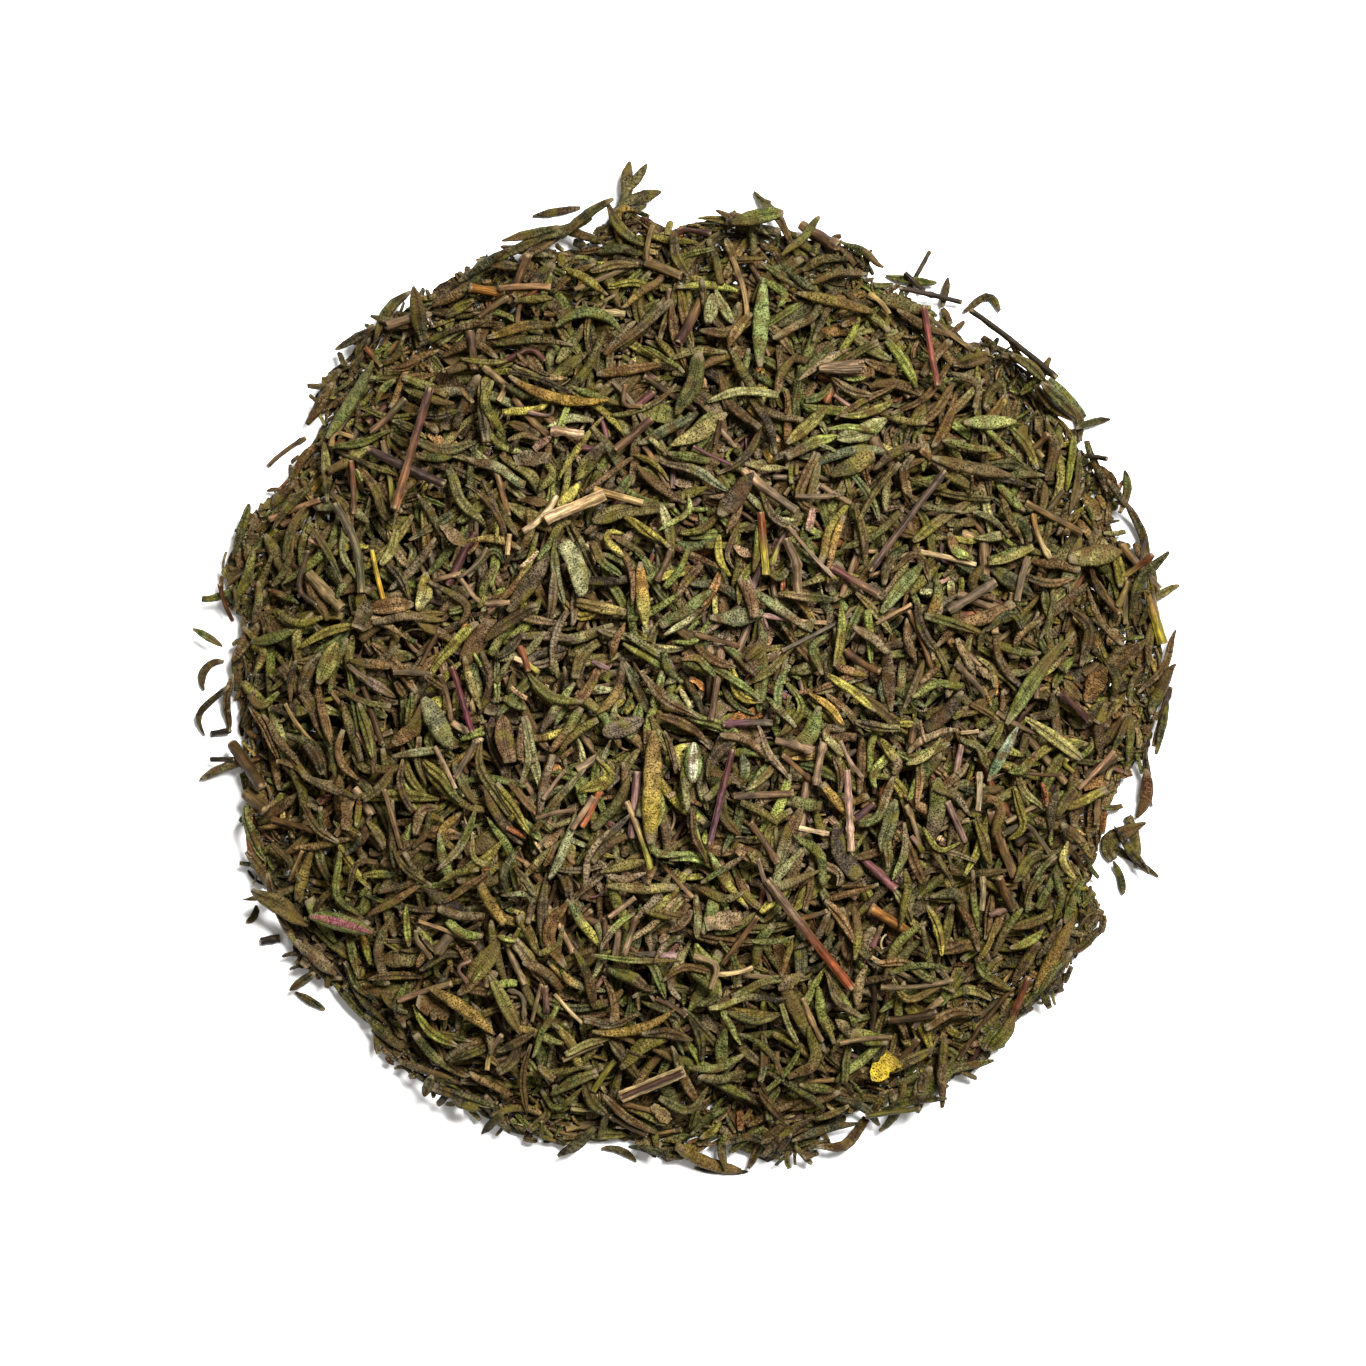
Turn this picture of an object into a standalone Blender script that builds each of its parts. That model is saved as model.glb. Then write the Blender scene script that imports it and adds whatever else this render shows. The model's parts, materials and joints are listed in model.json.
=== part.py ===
"""A round, flat heap of loose dried thyme, about 100 mm across.

The heap is a low dome of leaves that are packed too closely to name one by one. On the dome, and on the
table round its rim, lie the leaves, bits of stem and flakes that stand clear of the rest. Each of those
is a piece of its own.

Frame: metres, +Z up. The origin is on the table, under the middle of the heap's box.
"""

import math

import bmesh
import bpy
from mathutils import Matrix, Vector

MM = 0.001

# The dome of packed leaves.
DOME_CENTRE = Vector((0.3 * MM, -1.8 * MM))
DOME_RADIUS = 48.2 * MM
DOME_HEIGHT = 10.5 * MM
RIM_HEIGHT = 0.6 * MM  # the rim is about one leaf thick
SHOULDER = 2.6  # a higher number makes a flatter top
RIM_ROUNDING = 0.7  # a lower number makes a steeper rim
OUTLINE_WAVES = (  # lobes round the outline, size in metres, phase in degrees
    (3, 0.30 * MM, 100),
    (5, 0.35 * MM, 20),
    (9, 0.30 * MM, 50),
    (14, 0.20 * MM, 75),
)
SWELL_HEIGHT = 0.4 * MM
SWELL_LENGTH = 21 * MM
DOME_SPOKES = 48
DOME_RINGS = (0.1, 0.24, 0.38, 0.52, 0.65, 0.76, 0.85, 0.92, 0.97, 1.0)  # shares of the outline's radius

GAP = 0.3 * MM  # between the dome and a piece that lies on it
GAP_MARGIN = 0.6 * MM  # the gap is kept this far outside the dome's rim too
TILT_REACH = 0.35  # how far from its middle a piece's tilt is taken, as a share of its length

# Leaves: cross-section and outline.
LEAF_STATIONS = 8
LEAF_FULLNESS = 2.6  # a higher number makes a blunter spindle
LEAF_END_SHARE = 0.2  # width of a leaf's ends, as a share of its widest
LEAF_THICKNESS = 0.62  # share of the width, for a leaf whose edges are rolled under
MOST_THICKNESS = 0.9 * MM
GROOVE = 0.35  # depth of the groove over the midrib, as a share of half the thickness

LEAF_FOOT = 0.15  # how far a leaf's foot reaches into the twig that it grows on, in mm

# Stems.
STEM_SIDES = 8
STEM_STATIONS = 5
NODE_SWELLING = 0.35
NODE_HALF_LENGTH = 0.035  # share of the stem's length
BORE_SHARE = 0.55  # a hollow stem's bore, as a share of its radius
BORE_DEPTH = 0.9 * MM

GREEN = (0.125, 0.150, 0.042)
BRIGHT_GREEN = (0.200, 0.230, 0.055)
PALE_GREEN = (0.330, 0.350, 0.160)
OLIVE = (0.120, 0.105, 0.032)
YELLOW_GREEN = (0.260, 0.235, 0.050)
GOLD = (0.300, 0.180, 0.030)
BROWN = (0.105, 0.068, 0.030)
TAUPE = (0.160, 0.120, 0.075)
DARK_BROWN = (0.050, 0.032, 0.016)
STRAW = (0.560, 0.400, 0.200)
TAN = (0.300, 0.190, 0.095)
RUST = (0.270, 0.085, 0.030)
PLUM = (0.170, 0.060, 0.060)
PINK_TAN = (0.330, 0.180, 0.140)
YELLOW = (0.600, 0.440, 0.050)

# Each row: name, middle's x and y (mm), heading of the tip (degrees from +X), length and width (mm), turn
# over the whole length (degrees, to the left), colour.
LEAVES = (
    ("long_green_leaf", 8.3, 35.5, -93, 9.6, 1.75, 6, GREEN),
    ("golden_curved_leaf", -12.4, 28.8, 166, 10.8, 1.2, -50, GOLD),
    ("hooked_green_leaf", -9.4, 34.6, 175, 8.4, 1.1, 130, GREEN),
    ("ochre_leaf", 15.9, 37.6, -14, 8.3, 1.35, -8, GOLD),
    ("short_golden_leaf", 12.8, 25.0, 43, 5.6, 1.4, 12, GOLD),
    ("plump_green_leaf", 31.6, 25.4, 2, 5.8, 1.6, 0, GREEN),
    ("long_brown_leaf", 29.7, 20.8, -12, 8.7, 1.45, 8, BROWN),
    ("slanting_olive_leaf", 22.5, 8.4, 230, 6.7, 1.5, 8, YELLOW_GREEN),
    ("broad_olive_leaf", 42.4, 11.8, 8, 6.4, 2.3, 0, OLIVE),
    ("large_green_leaf", 36.0, -1.3, 236, 10.2, 1.65, 10, BRIGHT_GREEN),
    ("pale_backed_leaf", 32.8, -8.5, 241, 6.4, 1.2, 0, GREEN),
    ("blunt_grey_leaf", -24.7, -5.3, -61, 5.9, 2.3, 5, TAUPE),
    ("plump_yellow_leaf", -36.0, 0.8, 246, 4.7, 1.9, 0, YELLOW_GREEN),
    ("pink_lined_leaf", -30.8, -1.6, -32, 4.3, 1.1, 0, TAUPE),
    ("purple_leaf", -34.7, -26.0, -15, 7.0, 2.0, -18, PLUM),
    ("broad_brown_leaf", -37.4, -29.4, -40, 5.5, 2.0, 0, BROWN),
    ("green_gold_leaf", -22.3, -34.8, -36, 8.1, 1.5, -22, GOLD),
    ("long_yellow_green_leaf", -17.9, -34.0, -63, 7.0, 1.5, 0, YELLOW_GREEN),
    ("curled_golden_leaf", -4.8, -35.6, 15, 9.1, 1.05, 55, GOLD),
    ("wide_olive_leaf", -2.9, -11.8, 268, 11.6, 2.1, 0, OLIVE),
    ("pale_edged_leaf", 1.3, -9.3, 268, 4.1, 1.9, 0, PALE_GREEN),
    ("short_gold_leaf", -3.8, 7.6, -85, 6.9, 1.45, 5, GOLD),
    ("large_brown_leaf", -15.4, 8.8, 234, 7.0, 1.9, 0, BROWN),
    ("grey_brown_leaf", 10.1, 6.2, -35, 7.9, 1.1, 0, TAUPE),
    ("curved_yellow_green_leaf", 15.9, 3.6, 264, 6.4, 1.0, -30, YELLOW_GREEN),
    ("curved_green_leaf", -33.9, 27.8, 239, 9.3, 1.6, -16, GREEN),
    ("wide_golden_leaf", 38.3, -29.2, 243, 9.0, 1.8, 0, GOLD),
    ("dark_oval_leaf", 24.6, -43.3, 12, 6.2, 2.0, 0, DARK_BROWN),
    ("outer_right_leaf", 39.9, 28.2, -47, 5.5, 1.0, 0, GREEN),
    ("outer_left_leaf", -48.6, 3.4, 149, 3.6, 0.85, 10, GREEN),
    ("outer_bottom_leaf", 4.2, -51.4, -4, 5.6, 0.8, 12, DARK_BROWN),
)

# Each row: name, middle's x and y (mm), heading (degrees), length and thickness (mm), turn (degrees),
# places of the nodes as shares of the length, whether the cut ends are hollow, colour.
STEMS = (
    ("straw_stem", -10.7, 16.6, 23, 6.5, 1.4, 0, (), True, STRAW),
    ("thin_straw_stem", -6.3, 17.7, -16, 5.2, 0.8, 0, (), False, STRAW),
    ("straw_chip", -11.5, 24.2, -7, 3.4, 1.0, 0, (0.15,), False, STRAW),
    ("red_stem", 25.6, 33.2, -81, 8.8, 0.75, 4, (), False, RUST),
    ("dark_rim_twig", 25.7, 38.6, -12, 6.8, 0.55, -4, (0.5,), False, DARK_BROWN),
    ("red_brown_hollow_stem", -4.8, 24.0, 41, 4.9, 1.0, 0, (), True, RUST),
    ("long_brown_twig", 23.1, 15.2, 233, 13.0, 0.75, 4, (0.08, 0.92), False, TAUPE),
    ("red_purple_stem", 17.7, 9.1, -30, 5.6, 0.95, 0, (), False, PLUM),
    ("purple_stem", 4.1, -12.8, 256, 10.0, 0.65, 0, (0.5,), False, PLUM),
    ("left_purple_stem", -22.2, -2.9, -73, 7.0, 0.7, 0, (), False, PLUM),
    ("bent_tan_stem", 11.2, 10.6, -78, 5.6, 0.95, -45, (0.5,), False, TAN),
    ("red_yellow_stem", 8.4, 12.9, -85, 6.4, 0.9, 0, (), False, RUST),
    ("long_red_stem", 13.1, -26.8, -52, 14.4, 1.0, 2, (0.42,), True, RUST),
    ("pink_noded_stem", 17.1, -14.2, -87, 8.3, 0.7, 0, (0.35, 0.72), False, PINK_TAN),
    ("pithy_stem", -2.9, -42.2, 23, 7.1, 1.5, 0, (), True, STRAW),
    ("yellow_thread_stem", -30.8, 9.5, -76, 5.8, 0.55, 4, (), False, YELLOW),
    ("knotted_twig", -33.9, 12.5, -73, 9.6, 0.8, -40, (0.3, 0.62), False, TAN),
    ("long_red_yellow_stem", -27.3, 22.6, 254, 13.0, 1.0, 0, (0.12,), False, RUST),
    ("dark_brown_twig", -27.9, 20.8, -25, 8.9, 0.95, 6, (0.7,), False, DARK_BROWN),
    ("outer_yellow_stem", 48.7, 5.6, -74, 5.9, 1.3, 0, (), False, YELLOW_GREEN),
    ("outer_dark_twig", 47.4, 11.6, 258, 5.0, 0.55, 6, (), False, DARK_BROWN),
    ("left_rim_stem", -44.2, -17.1, -88, 4.2, 0.9, 0, (), False, RUST),
    ("pink_rim_stem", 34.3, -35.0, 250, 8.4, 0.7, 0, (0.6,), False, RUST),
)

# Pieces that lie across another one, and how much higher than the dome they lie for it.
RAISED = {
    "straw_stem": 1.15 * MM,
    "long_red_yellow_stem": 1.3 * MM,
}


def finish(name, colour):
    material = bpy.data.materials.new(name)
    material.use_nodes = True
    shader = material.node_tree.nodes["Principled BSDF"]
    shader.inputs["Base Color"].default_value = (*colour, 1)
    shader.inputs["Roughness"].default_value = 0.75
    shader.inputs["Metallic"].default_value = 0
    return material


# ---- the dome ----


def outline_radius(angle):
    waves = sum(size * math.sin(lobes * angle + math.radians(phase)) for lobes, size, phase in OUTLINE_WAVES)
    return DOME_RADIUS + waves


def swell(x, y):
    """The dome's gentle unevenness, from -SWELL_HEIGHT to SWELL_HEIGHT."""
    turn = 2 * math.pi / SWELL_LENGTH
    return SWELL_HEIGHT * math.sin(turn * (x + 0.4 * y)) * math.cos(turn * (y - 0.3 * x))


def dome_height(x, y):
    """Height of the dome's top above the table, or 0 outside it."""
    out = Vector((x, y)) - DOME_CENTRE
    share = out.length / outline_radius(math.atan2(out.y, out.x))
    if share > 1:
        return 0.0
    fall = (1 - share**SHOULDER) ** RIM_ROUNDING
    return RIM_HEIGHT + fall * (DOME_HEIGHT - RIM_HEIGHT + swell(x, y))


def make_dome():
    bm = bmesh.new()
    top = bm.verts.new((*DOME_CENTRE, dome_height(*DOME_CENTRE)))
    rings = []
    for share in DOME_RINGS:
        rings.append([])
        for spoke in range(DOME_SPOKES):
            angle = 2 * math.pi * spoke / DOME_SPOKES
            place = DOME_CENTRE + Vector((math.cos(angle), math.sin(angle))) * share * outline_radius(angle)
            height = RIM_HEIGHT if share == 1 else dome_height(*place)
            rings[-1].append(bm.verts.new((*place, height)))
    foot = [bm.verts.new((v.co.x, v.co.y, 0)) for v in rings[-1]]
    for i in range(DOME_SPOKES):
        bm.faces.new((top, rings[0][i], rings[0][(i + 1) % DOME_SPOKES]))
    skin(bm, rings + [foot])
    bm.faces.new(reversed(foot))
    return add_object("packed_leaves", bm, GREEN)


# ---- meshes from rings ----


def skin(bm, rings):
    """Faces between rings of as many points each, in order."""
    for lower, upper in zip(rings, rings[1:]):
        count = len(lower)
        for i in range(count):
            j = (i + 1) % count
            bm.faces.new((lower[i], upper[i], upper[j], lower[j]))


def add_object(name, bm, colour):
    bmesh.ops.recalc_face_normals(bm, faces=bm.faces)
    mesh = bpy.data.meshes.new(name)
    bm.to_mesh(mesh)
    bm.free()
    mesh.shade_smooth()
    mesh.set_sharp_from_angle(angle=math.radians(50))
    mesh.materials.append(finish(name, colour))
    obj = bpy.data.objects.new(name, mesh)
    bpy.context.scene.collection.objects.link(obj)
    return obj


def spine(length, turn, shares, crease=0.5):
    """Points and headings along a curved line in the XY plane, its middle at 0 and heading along +X there.

    The line turns over the middle part of its length that crease gives: 0.5 on each side is all of it.
    """
    steps = 200
    point, line = Vector((0, 0)), []
    for step in range(steps + 1):
        share = step / steps
        bent = max(-0.5, min(0.5, (share - 0.5) * 0.5 / crease))
        heading = math.radians(turn) * bent
        line.append((point.copy(), heading))
        point += Vector((math.cos(heading), math.sin(heading))) * length / steps
    middle = (line[0][0] + line[-1][0]) / 2
    return [(line[round(share * steps)][0] - middle, line[round(share * steps)][1]) for share in shares]


def ring_at(bm, place, heading, section, height=0.0):
    """One ring of points across a spine, from (sideways, upward) offsets."""
    side = Vector((-math.sin(heading), math.cos(heading)))
    points = []
    for across, up in section:
        flat = place + side * across
        points.append(bm.verts.new((flat.x, flat.y, height + up)))
    return points


def loft(name, rings_of, colour):
    bm = bmesh.new()
    rings = rings_of(bm)
    skin(bm, rings)
    bm.faces.new(rings[0])
    bm.faces.new(reversed(rings[-1]))
    return add_object(name, bm, colour)


# ---- leaves ----


def leaf_section(half_width, half_thickness):
    """A leaf's cross-section: a groove over the midrib, and below it another between the rolled edges."""
    groove = half_thickness * (1 - GROOVE)
    return (
        (half_width, 0),
        (half_width * 0.6, half_thickness),
        (0, groove),
        (-half_width * 0.6, half_thickness),
        (-half_width, 0),
        (-half_width * 0.6, -half_thickness),
        (0, -groove),
        (half_width * 0.6, -half_thickness),
    )


def leaf_outline(share):
    """A leaf's width along its length, as a share of its widest."""
    return LEAF_END_SHARE + (1 - LEAF_END_SHARE) * (1 - abs(2 * share - 1) ** LEAF_FULLNESS)


def make_leaf(name, length, width, turn, colour, crease=0.5):
    thickness = min(width * LEAF_THICKNESS, MOST_THICKNESS)
    shares = [0.5 - 0.5 * math.cos(math.pi * i / (LEAF_STATIONS - 1)) for i in range(LEAF_STATIONS)]

    def rings_of(bm):
        rings = []
        for share, (place, heading) in zip(shares, spine(length, turn, shares, crease)):
            size = leaf_outline(share)
            rings.append(ring_at(bm, place, heading, leaf_section(width * size / 2, thickness * size / 2)))
        return rings

    return loft(name, rings_of, colour)


# ---- stems ----


def circle(radius):
    angles = [2 * math.pi * i / STEM_SIDES for i in range(STEM_SIDES)]
    return [(radius * math.cos(a), radius * math.sin(a)) for a in angles]


def stem_swelling(share, nodes):
    """How much thicker the stem is near its nodes."""
    return 1 + sum(NODE_SWELLING for node in nodes if abs(share - node) < 1e-6)


def bore_rings(bm, place, heading, radius, inward):
    """The mouth and the floor of a bore in a stem's cut end, given the way in along the stem."""
    along = Vector((math.cos(heading), math.sin(heading))) * inward
    mouth = ring_at(bm, place, heading, circle(radius * BORE_SHARE))
    floor = ring_at(bm, place + along * BORE_DEPTH, heading, circle(radius * BORE_SHARE * 0.9))
    return mouth, floor


def make_stem(name, length, width, turn, nodes, hollow, colour):
    radius = width / 2
    shares = {i / (STEM_STATIONS - 1) for i in range(STEM_STATIONS)}
    for node in nodes:
        shares |= {node - NODE_HALF_LENGTH, node, node + NODE_HALF_LENGTH}
    shares = sorted(share for share in shares if 0 <= share <= 1)
    line = spine(length, turn, shares)

    def rings_of(bm):
        rings = []
        for share, (place, heading) in zip(shares, line):
            rings.append(ring_at(bm, place, heading, circle(radius * stem_swelling(share, nodes))))
        if hollow:
            mouth, floor = bore_rings(bm, *line[0], radius, 1)
            rings = [floor, mouth] + rings
            mouth, floor = bore_rings(bm, *line[-1], radius, -1)
            rings += [mouth, floor]
        return rings

    return loft(name, rings_of, colour)


# ---- pieces with a shape of their own ----


def make_bud(name, length, width, colour):
    """A closed, pointed bud, turned about its length."""
    shares = (0, 0.12, 0.35, 0.6, 0.82, 1)
    sizes = (0.35, 0.75, 1, 0.9, 0.6, 0.2)

    def rings_of(bm):
        line = spine(length, 0, shares)
        return [ring_at(bm, *at, circle(width / 2 * size)) for at, size in zip(line, sizes)]

    return loft(name, rings_of, colour)


def make_calyx(name, length, width, colour):
    """The dry cup that held a flower: narrow at its stalk, open at its mouth."""
    wall = 0.2 * MM
    shares = (0, 0.15, 0.45, 0.8, 1)
    sizes = (0.3, 0.65, 0.9, 1, 0.85)
    inner_shares = (1, 0.8, 0.45)

    def rings_of(bm):
        line = spine(length, 0, shares)
        rings = [ring_at(bm, *at, circle(width / 2 * size)) for at, size in zip(line, sizes)]
        for share, at in zip(inner_shares, spine(length, 0, inner_shares)):
            size = sizes[shares.index(share)]
            rings.append(ring_at(bm, *at, circle(width / 2 * size - wall)))
        return rings

    return loft(name, rings_of, colour)


def make_flake(name, length, width, colour):
    """A broken scrap of leaf, thin and a little cupped."""
    thickness = 0.35 * MM
    cupping = 0.25 * MM
    shares = (0, 0.2, 0.5, 0.8, 1)
    sizes = (0.55, 0.9, 1, 0.85, 0.4)

    def rings_of(bm):
        rings = []
        for share, size, (place, heading) in zip(shares, sizes, spine(length, 12, shares)):
            half, edge = width * size / 2, cupping * (2 * share - 1) ** 2
            section = [(half, edge), (0, thickness / 2), (-half, edge), (0, -thickness / 2)]
            rings.append(ring_at(bm, place, heading, section))
        return rings

    return loft(name, rings_of, colour)


def make_sprig(name, length, width, colour):
    """The tip of a twig with its leaves still on, one body."""
    sprig = make_stem(name, length, width, 10, (), False, colour)
    leaves = (  # where along the twig each starts (mm), turn from its heading, length and width (mm)
        (1.6, 22, 3.4, 0.85),
        (1.2, -42, 4.2, 1.0),
        (2.2, -8, 3.6, 0.7),
    )
    for number, (start, heading, leaf_length, leaf_width) in enumerate(leaves):
        leaf = make_leaf(f"{name}_leaf_{number}", leaf_length * MM, leaf_width * MM, 0, colour)
        turned = math.radians(heading)
        middle = (leaf_length / 2 - LEAF_FOOT) * MM
        leaf.location = (start * MM + middle * math.cos(turned), middle * math.sin(turned), 0)
        leaf.rotation_euler = (0, 0, turned)
        leaf.parent = sprig
        leaf.hide_render = True
        leaf.display_type = "WIRE"
        join = sprig.modifiers.new(f"leaf_{number}", "BOOLEAN")
        join.operation = "UNION"
        join.object = leaf
    return sprig


# ---- laying the pieces down ----


def corners(obj):
    """The object's points as it is evaluated, its joined leaves included."""
    bpy.context.view_layer.update()
    evaluated = obj.evaluated_get(bpy.context.evaluated_depsgraph_get())
    points = [obj.matrix_world @ vertex.co for vertex in evaluated.to_mesh().vertices]
    evaluated.to_mesh_clear()
    return points


def needed_height(point):
    """The lowest that a piece's point may be over this place."""
    out = point.xy - DOME_CENTRE
    height = dome_height(*(point.xy - out.normalized() * GAP_MARGIN))
    return height + GAP if height > 0 else 0.0


def lay(obj, x, y, heading, length):
    """Lays a piece of this length (mm) on the dome or the table, tilted as the surface under it is."""
    angle = math.radians(heading)
    along = Vector((math.cos(angle), math.sin(angle)))
    across = Vector((-along.y, along.x))
    place = Vector((x, y)) * MM
    reach = length * MM * TILT_REACH

    def rise(way, distance):
        ahead, behind = place + way * distance, place - way * distance
        return dome_height(*ahead) - dome_height(*behind)

    forward = Vector((*(along * 2 * reach), rise(along, reach))).normalized()
    level = Vector((*(across * 2 * reach), rise(across, reach))).normalized()
    up = forward.cross(level).normalized()
    turned = Matrix((forward, up.cross(forward), up)).transposed()
    obj.rotation_euler = turned.to_euler()
    obj.location = (*place, 0)
    lift = max(needed_height(point) - point.z for point in corners(obj))
    obj.location.z = lift + RAISED.get(obj.name, 0)


def centre_on_origin(pieces):
    """Moves every piece by the same amount, so that the box of them all stands on the origin."""
    points = [point for piece in pieces for point in corners(piece)]
    middle_x = (min(p.x for p in points) + max(p.x for p in points)) / 2
    middle_y = (min(p.y for p in points) + max(p.y for p in points)) / 2
    for piece in pieces:
        piece.location.x -= middle_x
        piece.location.y -= middle_y


def build():
    for obj in list(bpy.data.objects):
        bpy.data.objects.remove(obj)
    dome = make_dome()
    pieces = []
    for name, x, y, heading, length, width, turn, colour in LEAVES:
        pieces.append(make_leaf(name, length * MM, width * MM, turn, colour))
        lay(pieces[-1], x, y, heading, length)
    for name, x, y, heading, length, width, turn, nodes, hollow, colour in STEMS:
        pieces.append(make_stem(name, length * MM, width * MM, turn, nodes, hollow, colour))
        lay(pieces[-1], x, y, heading, length)
    folded = make_leaf("folded_leaf", 9.6 * MM, 1.0 * MM, 155, PALE_GREEN, crease=0.08)
    lay(folded, 13.4, -19.0, -55, 5.5)
    bud = make_bud("green_bud", 3.1 * MM, 1.7 * MM, PALE_GREEN)
    lay(bud, 3.1, 36.9, 80, 3.1)
    calyx = make_calyx("dried_calyx", 4.6 * MM, 1.5 * MM, TAN)
    lay(calyx, 16.4, 30.9, 2, 4.6)
    flake = make_flake("yellow_flake", 3.4 * MM, 2.4 * MM, YELLOW)
    lay(flake, 20.8, -40.7, 225, 3.4)
    sprig = make_sprig("top_sprig", 5.2 * MM, 0.6 * MM, GREEN)
    lay(sprig, -6.3, 47.6, 62, 5.7)
    centre_on_origin([dome, *pieces, folded, bud, calyx, flake, sprig])


build()
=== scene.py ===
"""The looks of a round, flat heap of loose dried thyme, about 100 mm across.

Every leaf and bit of stem is a strand: rings of points along a line, with a cross-section and a colour. A
piece with a CAD node of its own is a strand along that node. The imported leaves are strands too. They are
dropped one at a time onto a map of heights, from the table up, until the heap is as high as its CAD dome.

Lengths are millimetres until a mesh is made. Colours are linear.
"""

import json
import math
from dataclasses import dataclass, replace

import bpy
import numpy as np
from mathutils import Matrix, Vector
from mathutils.bvhtree import BVHTree


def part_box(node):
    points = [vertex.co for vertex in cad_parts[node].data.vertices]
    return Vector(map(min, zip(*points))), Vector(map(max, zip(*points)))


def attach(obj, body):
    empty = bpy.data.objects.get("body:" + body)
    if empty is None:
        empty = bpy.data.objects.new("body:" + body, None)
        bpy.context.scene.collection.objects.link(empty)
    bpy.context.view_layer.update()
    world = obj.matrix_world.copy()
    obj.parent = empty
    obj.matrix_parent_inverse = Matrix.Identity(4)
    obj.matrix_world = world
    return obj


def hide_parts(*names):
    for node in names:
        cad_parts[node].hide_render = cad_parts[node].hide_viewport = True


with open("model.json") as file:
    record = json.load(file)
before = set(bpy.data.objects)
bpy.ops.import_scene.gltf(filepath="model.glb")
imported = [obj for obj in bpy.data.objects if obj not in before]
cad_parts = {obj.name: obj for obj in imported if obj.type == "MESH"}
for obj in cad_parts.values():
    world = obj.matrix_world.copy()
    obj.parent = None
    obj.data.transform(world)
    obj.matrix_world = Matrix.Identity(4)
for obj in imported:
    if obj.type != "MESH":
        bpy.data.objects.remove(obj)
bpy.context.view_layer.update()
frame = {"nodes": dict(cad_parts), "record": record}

MM = 0.001
RANDOM = np.random.default_rng(11)
SLOT_OF = {part["node"]: part["material_slot"] for part in frame["record"]["subparts"]}
COLOUR_OF = {material["slot"]: material["base_color"] for material in frame["record"]["materials"]}

# The map of heights.
CELL = 0.25
REACH = 56.0  # half the side of the map
CELLS = int(2 * REACH / CELL)
OUT_OF_REACH = 100.0

# How the heap is filled.
FILL_PROUD = -1.8  # how far above the CAD dome the filling may reach, on average: it stays under it
TOP_PROUD = 1.4  # and how far above it the leaves strewn on top may
RELIEF = 0.8  # how much more or less they may stand out from place to place
RELIEF_SIZE = 3.0  # how far apart those places are
LEAST_ROOM = 2.1  # how high the heap may always be, even at its rim
EDGE_WANDER = (-0.3, 2.0)  # how far outside the CAD dome the heap ends, on average and more or less
EDGE_BUMP_SIZE = 5.0  # how far apart the edge's bumps are
STREWN = 4200  # leaves to lay on top of the filling, where each finds room
STREWN_TRIES = 4  # spots tried for each of them
STRAYS = 140  # leaves that lie loose along the rim
STRAY_BAND = (-1.3, 0.6)  # how far outside the rim their middles lie
DEEPEST_GAP = 5.5  # gaps deeper than this are closed with crumbs
MOST_PLUGS = 4000  # most crumbs that close gaps
SINK = 0.10  # how far a piece presses into what it rests on
MOST_OVERLAP = 0.1  # how far the middle of a leaf laid at a listed place may reach over a named piece's underside
STEEPEST = 0.5  # a piece that would lie steeper than this rise over run finds another place
LOOSENESS = 0.8  # how far from the deepest of the spots tried a piece may end up
MOST_BITS = 14000
MOST_MISSES = 200  # the filling ends when this many pieces in a row find no room
FOOTPRINT = 0.8  # share of a piece's width that holds up what is laid on it
FOOTPRINT_STEPS = 1.3  # points along a piece's footprint for each cell of its length
LEAST_HEIGHT = 0.02  # no point of a piece lies lower than this over the table
HAND_LAID_THICKNESS = {"leaf": 0.75, "stem": 1}  # as a share of the width
MOST_HAND_LAID_THICKNESS = 1.0
RIM_BAND = 4.5  # width of the band along the rim that is filled once more
RIM_MISSES = 300  # as MOST_MISSES, for that band
CARPET_FROM = 28.0  # outside this radius the heap is so low that its lowest layer must be dense
CARPET_ROOM = 1.15  # that layer's height
CARPET_MISSES = 180  # as MOST_MISSES, for that layer
SAMPLED_SPOTS = 30  # random spots looked at for each piece of the filling
TRIED_SPOTS = 7  # the emptiest of them, where the piece is tried
HEADINGS_PER_SPOT = 2
RIM_WIDTH = 3.5  # pieces this near the rim mostly lie along it
RIM_SHARE = 0.55
RIM_SPREAD = 0.4  # how far from the rim's own heading such a piece lies, in radians
REST_SHARES = np.linspace(0, 1, 13)  # points along a piece that feel what is under it
EDGE_SAMPLES = np.array((-0.6, 0.0, 0.6))  # and points across it, as shares of half its width
# What the distance from the middle does to red, green and blue: painted light in the middle, painted shade at
# the rim.
TONE_AT = (0.0, 20.0, 45.0, 50.0)
PAINTED_LIGHT_TONES = ((1.18, 1.15, 1.30), (1.08, 1.05, 1.10), (0.60, 0.56, 0.32), (0.28, 0.27, 0.17))
HIDDEN_DEPTH = 0.35  # a piece whose top is all this far below the heap's is hidden
TILE = 20.0  # side of the squares that the filling is split into
FIRST_TILE = 60.0  # how far before the table's middle the first of them starts

# The scene.
FRAME_WIDTH = 140.8  # what the camera takes in, side to side
FRAME_SHIFT = (-0.4, -1.75)  # the picture's middle, in the CAD's own table frame
DOME_MIDDLE = (0.3, -1.8)  # the dome's middle in the same frame
CAMERA_HEIGHT = 700.0
SENSOR = 36.0  # the camera's sensor, side to side

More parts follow.
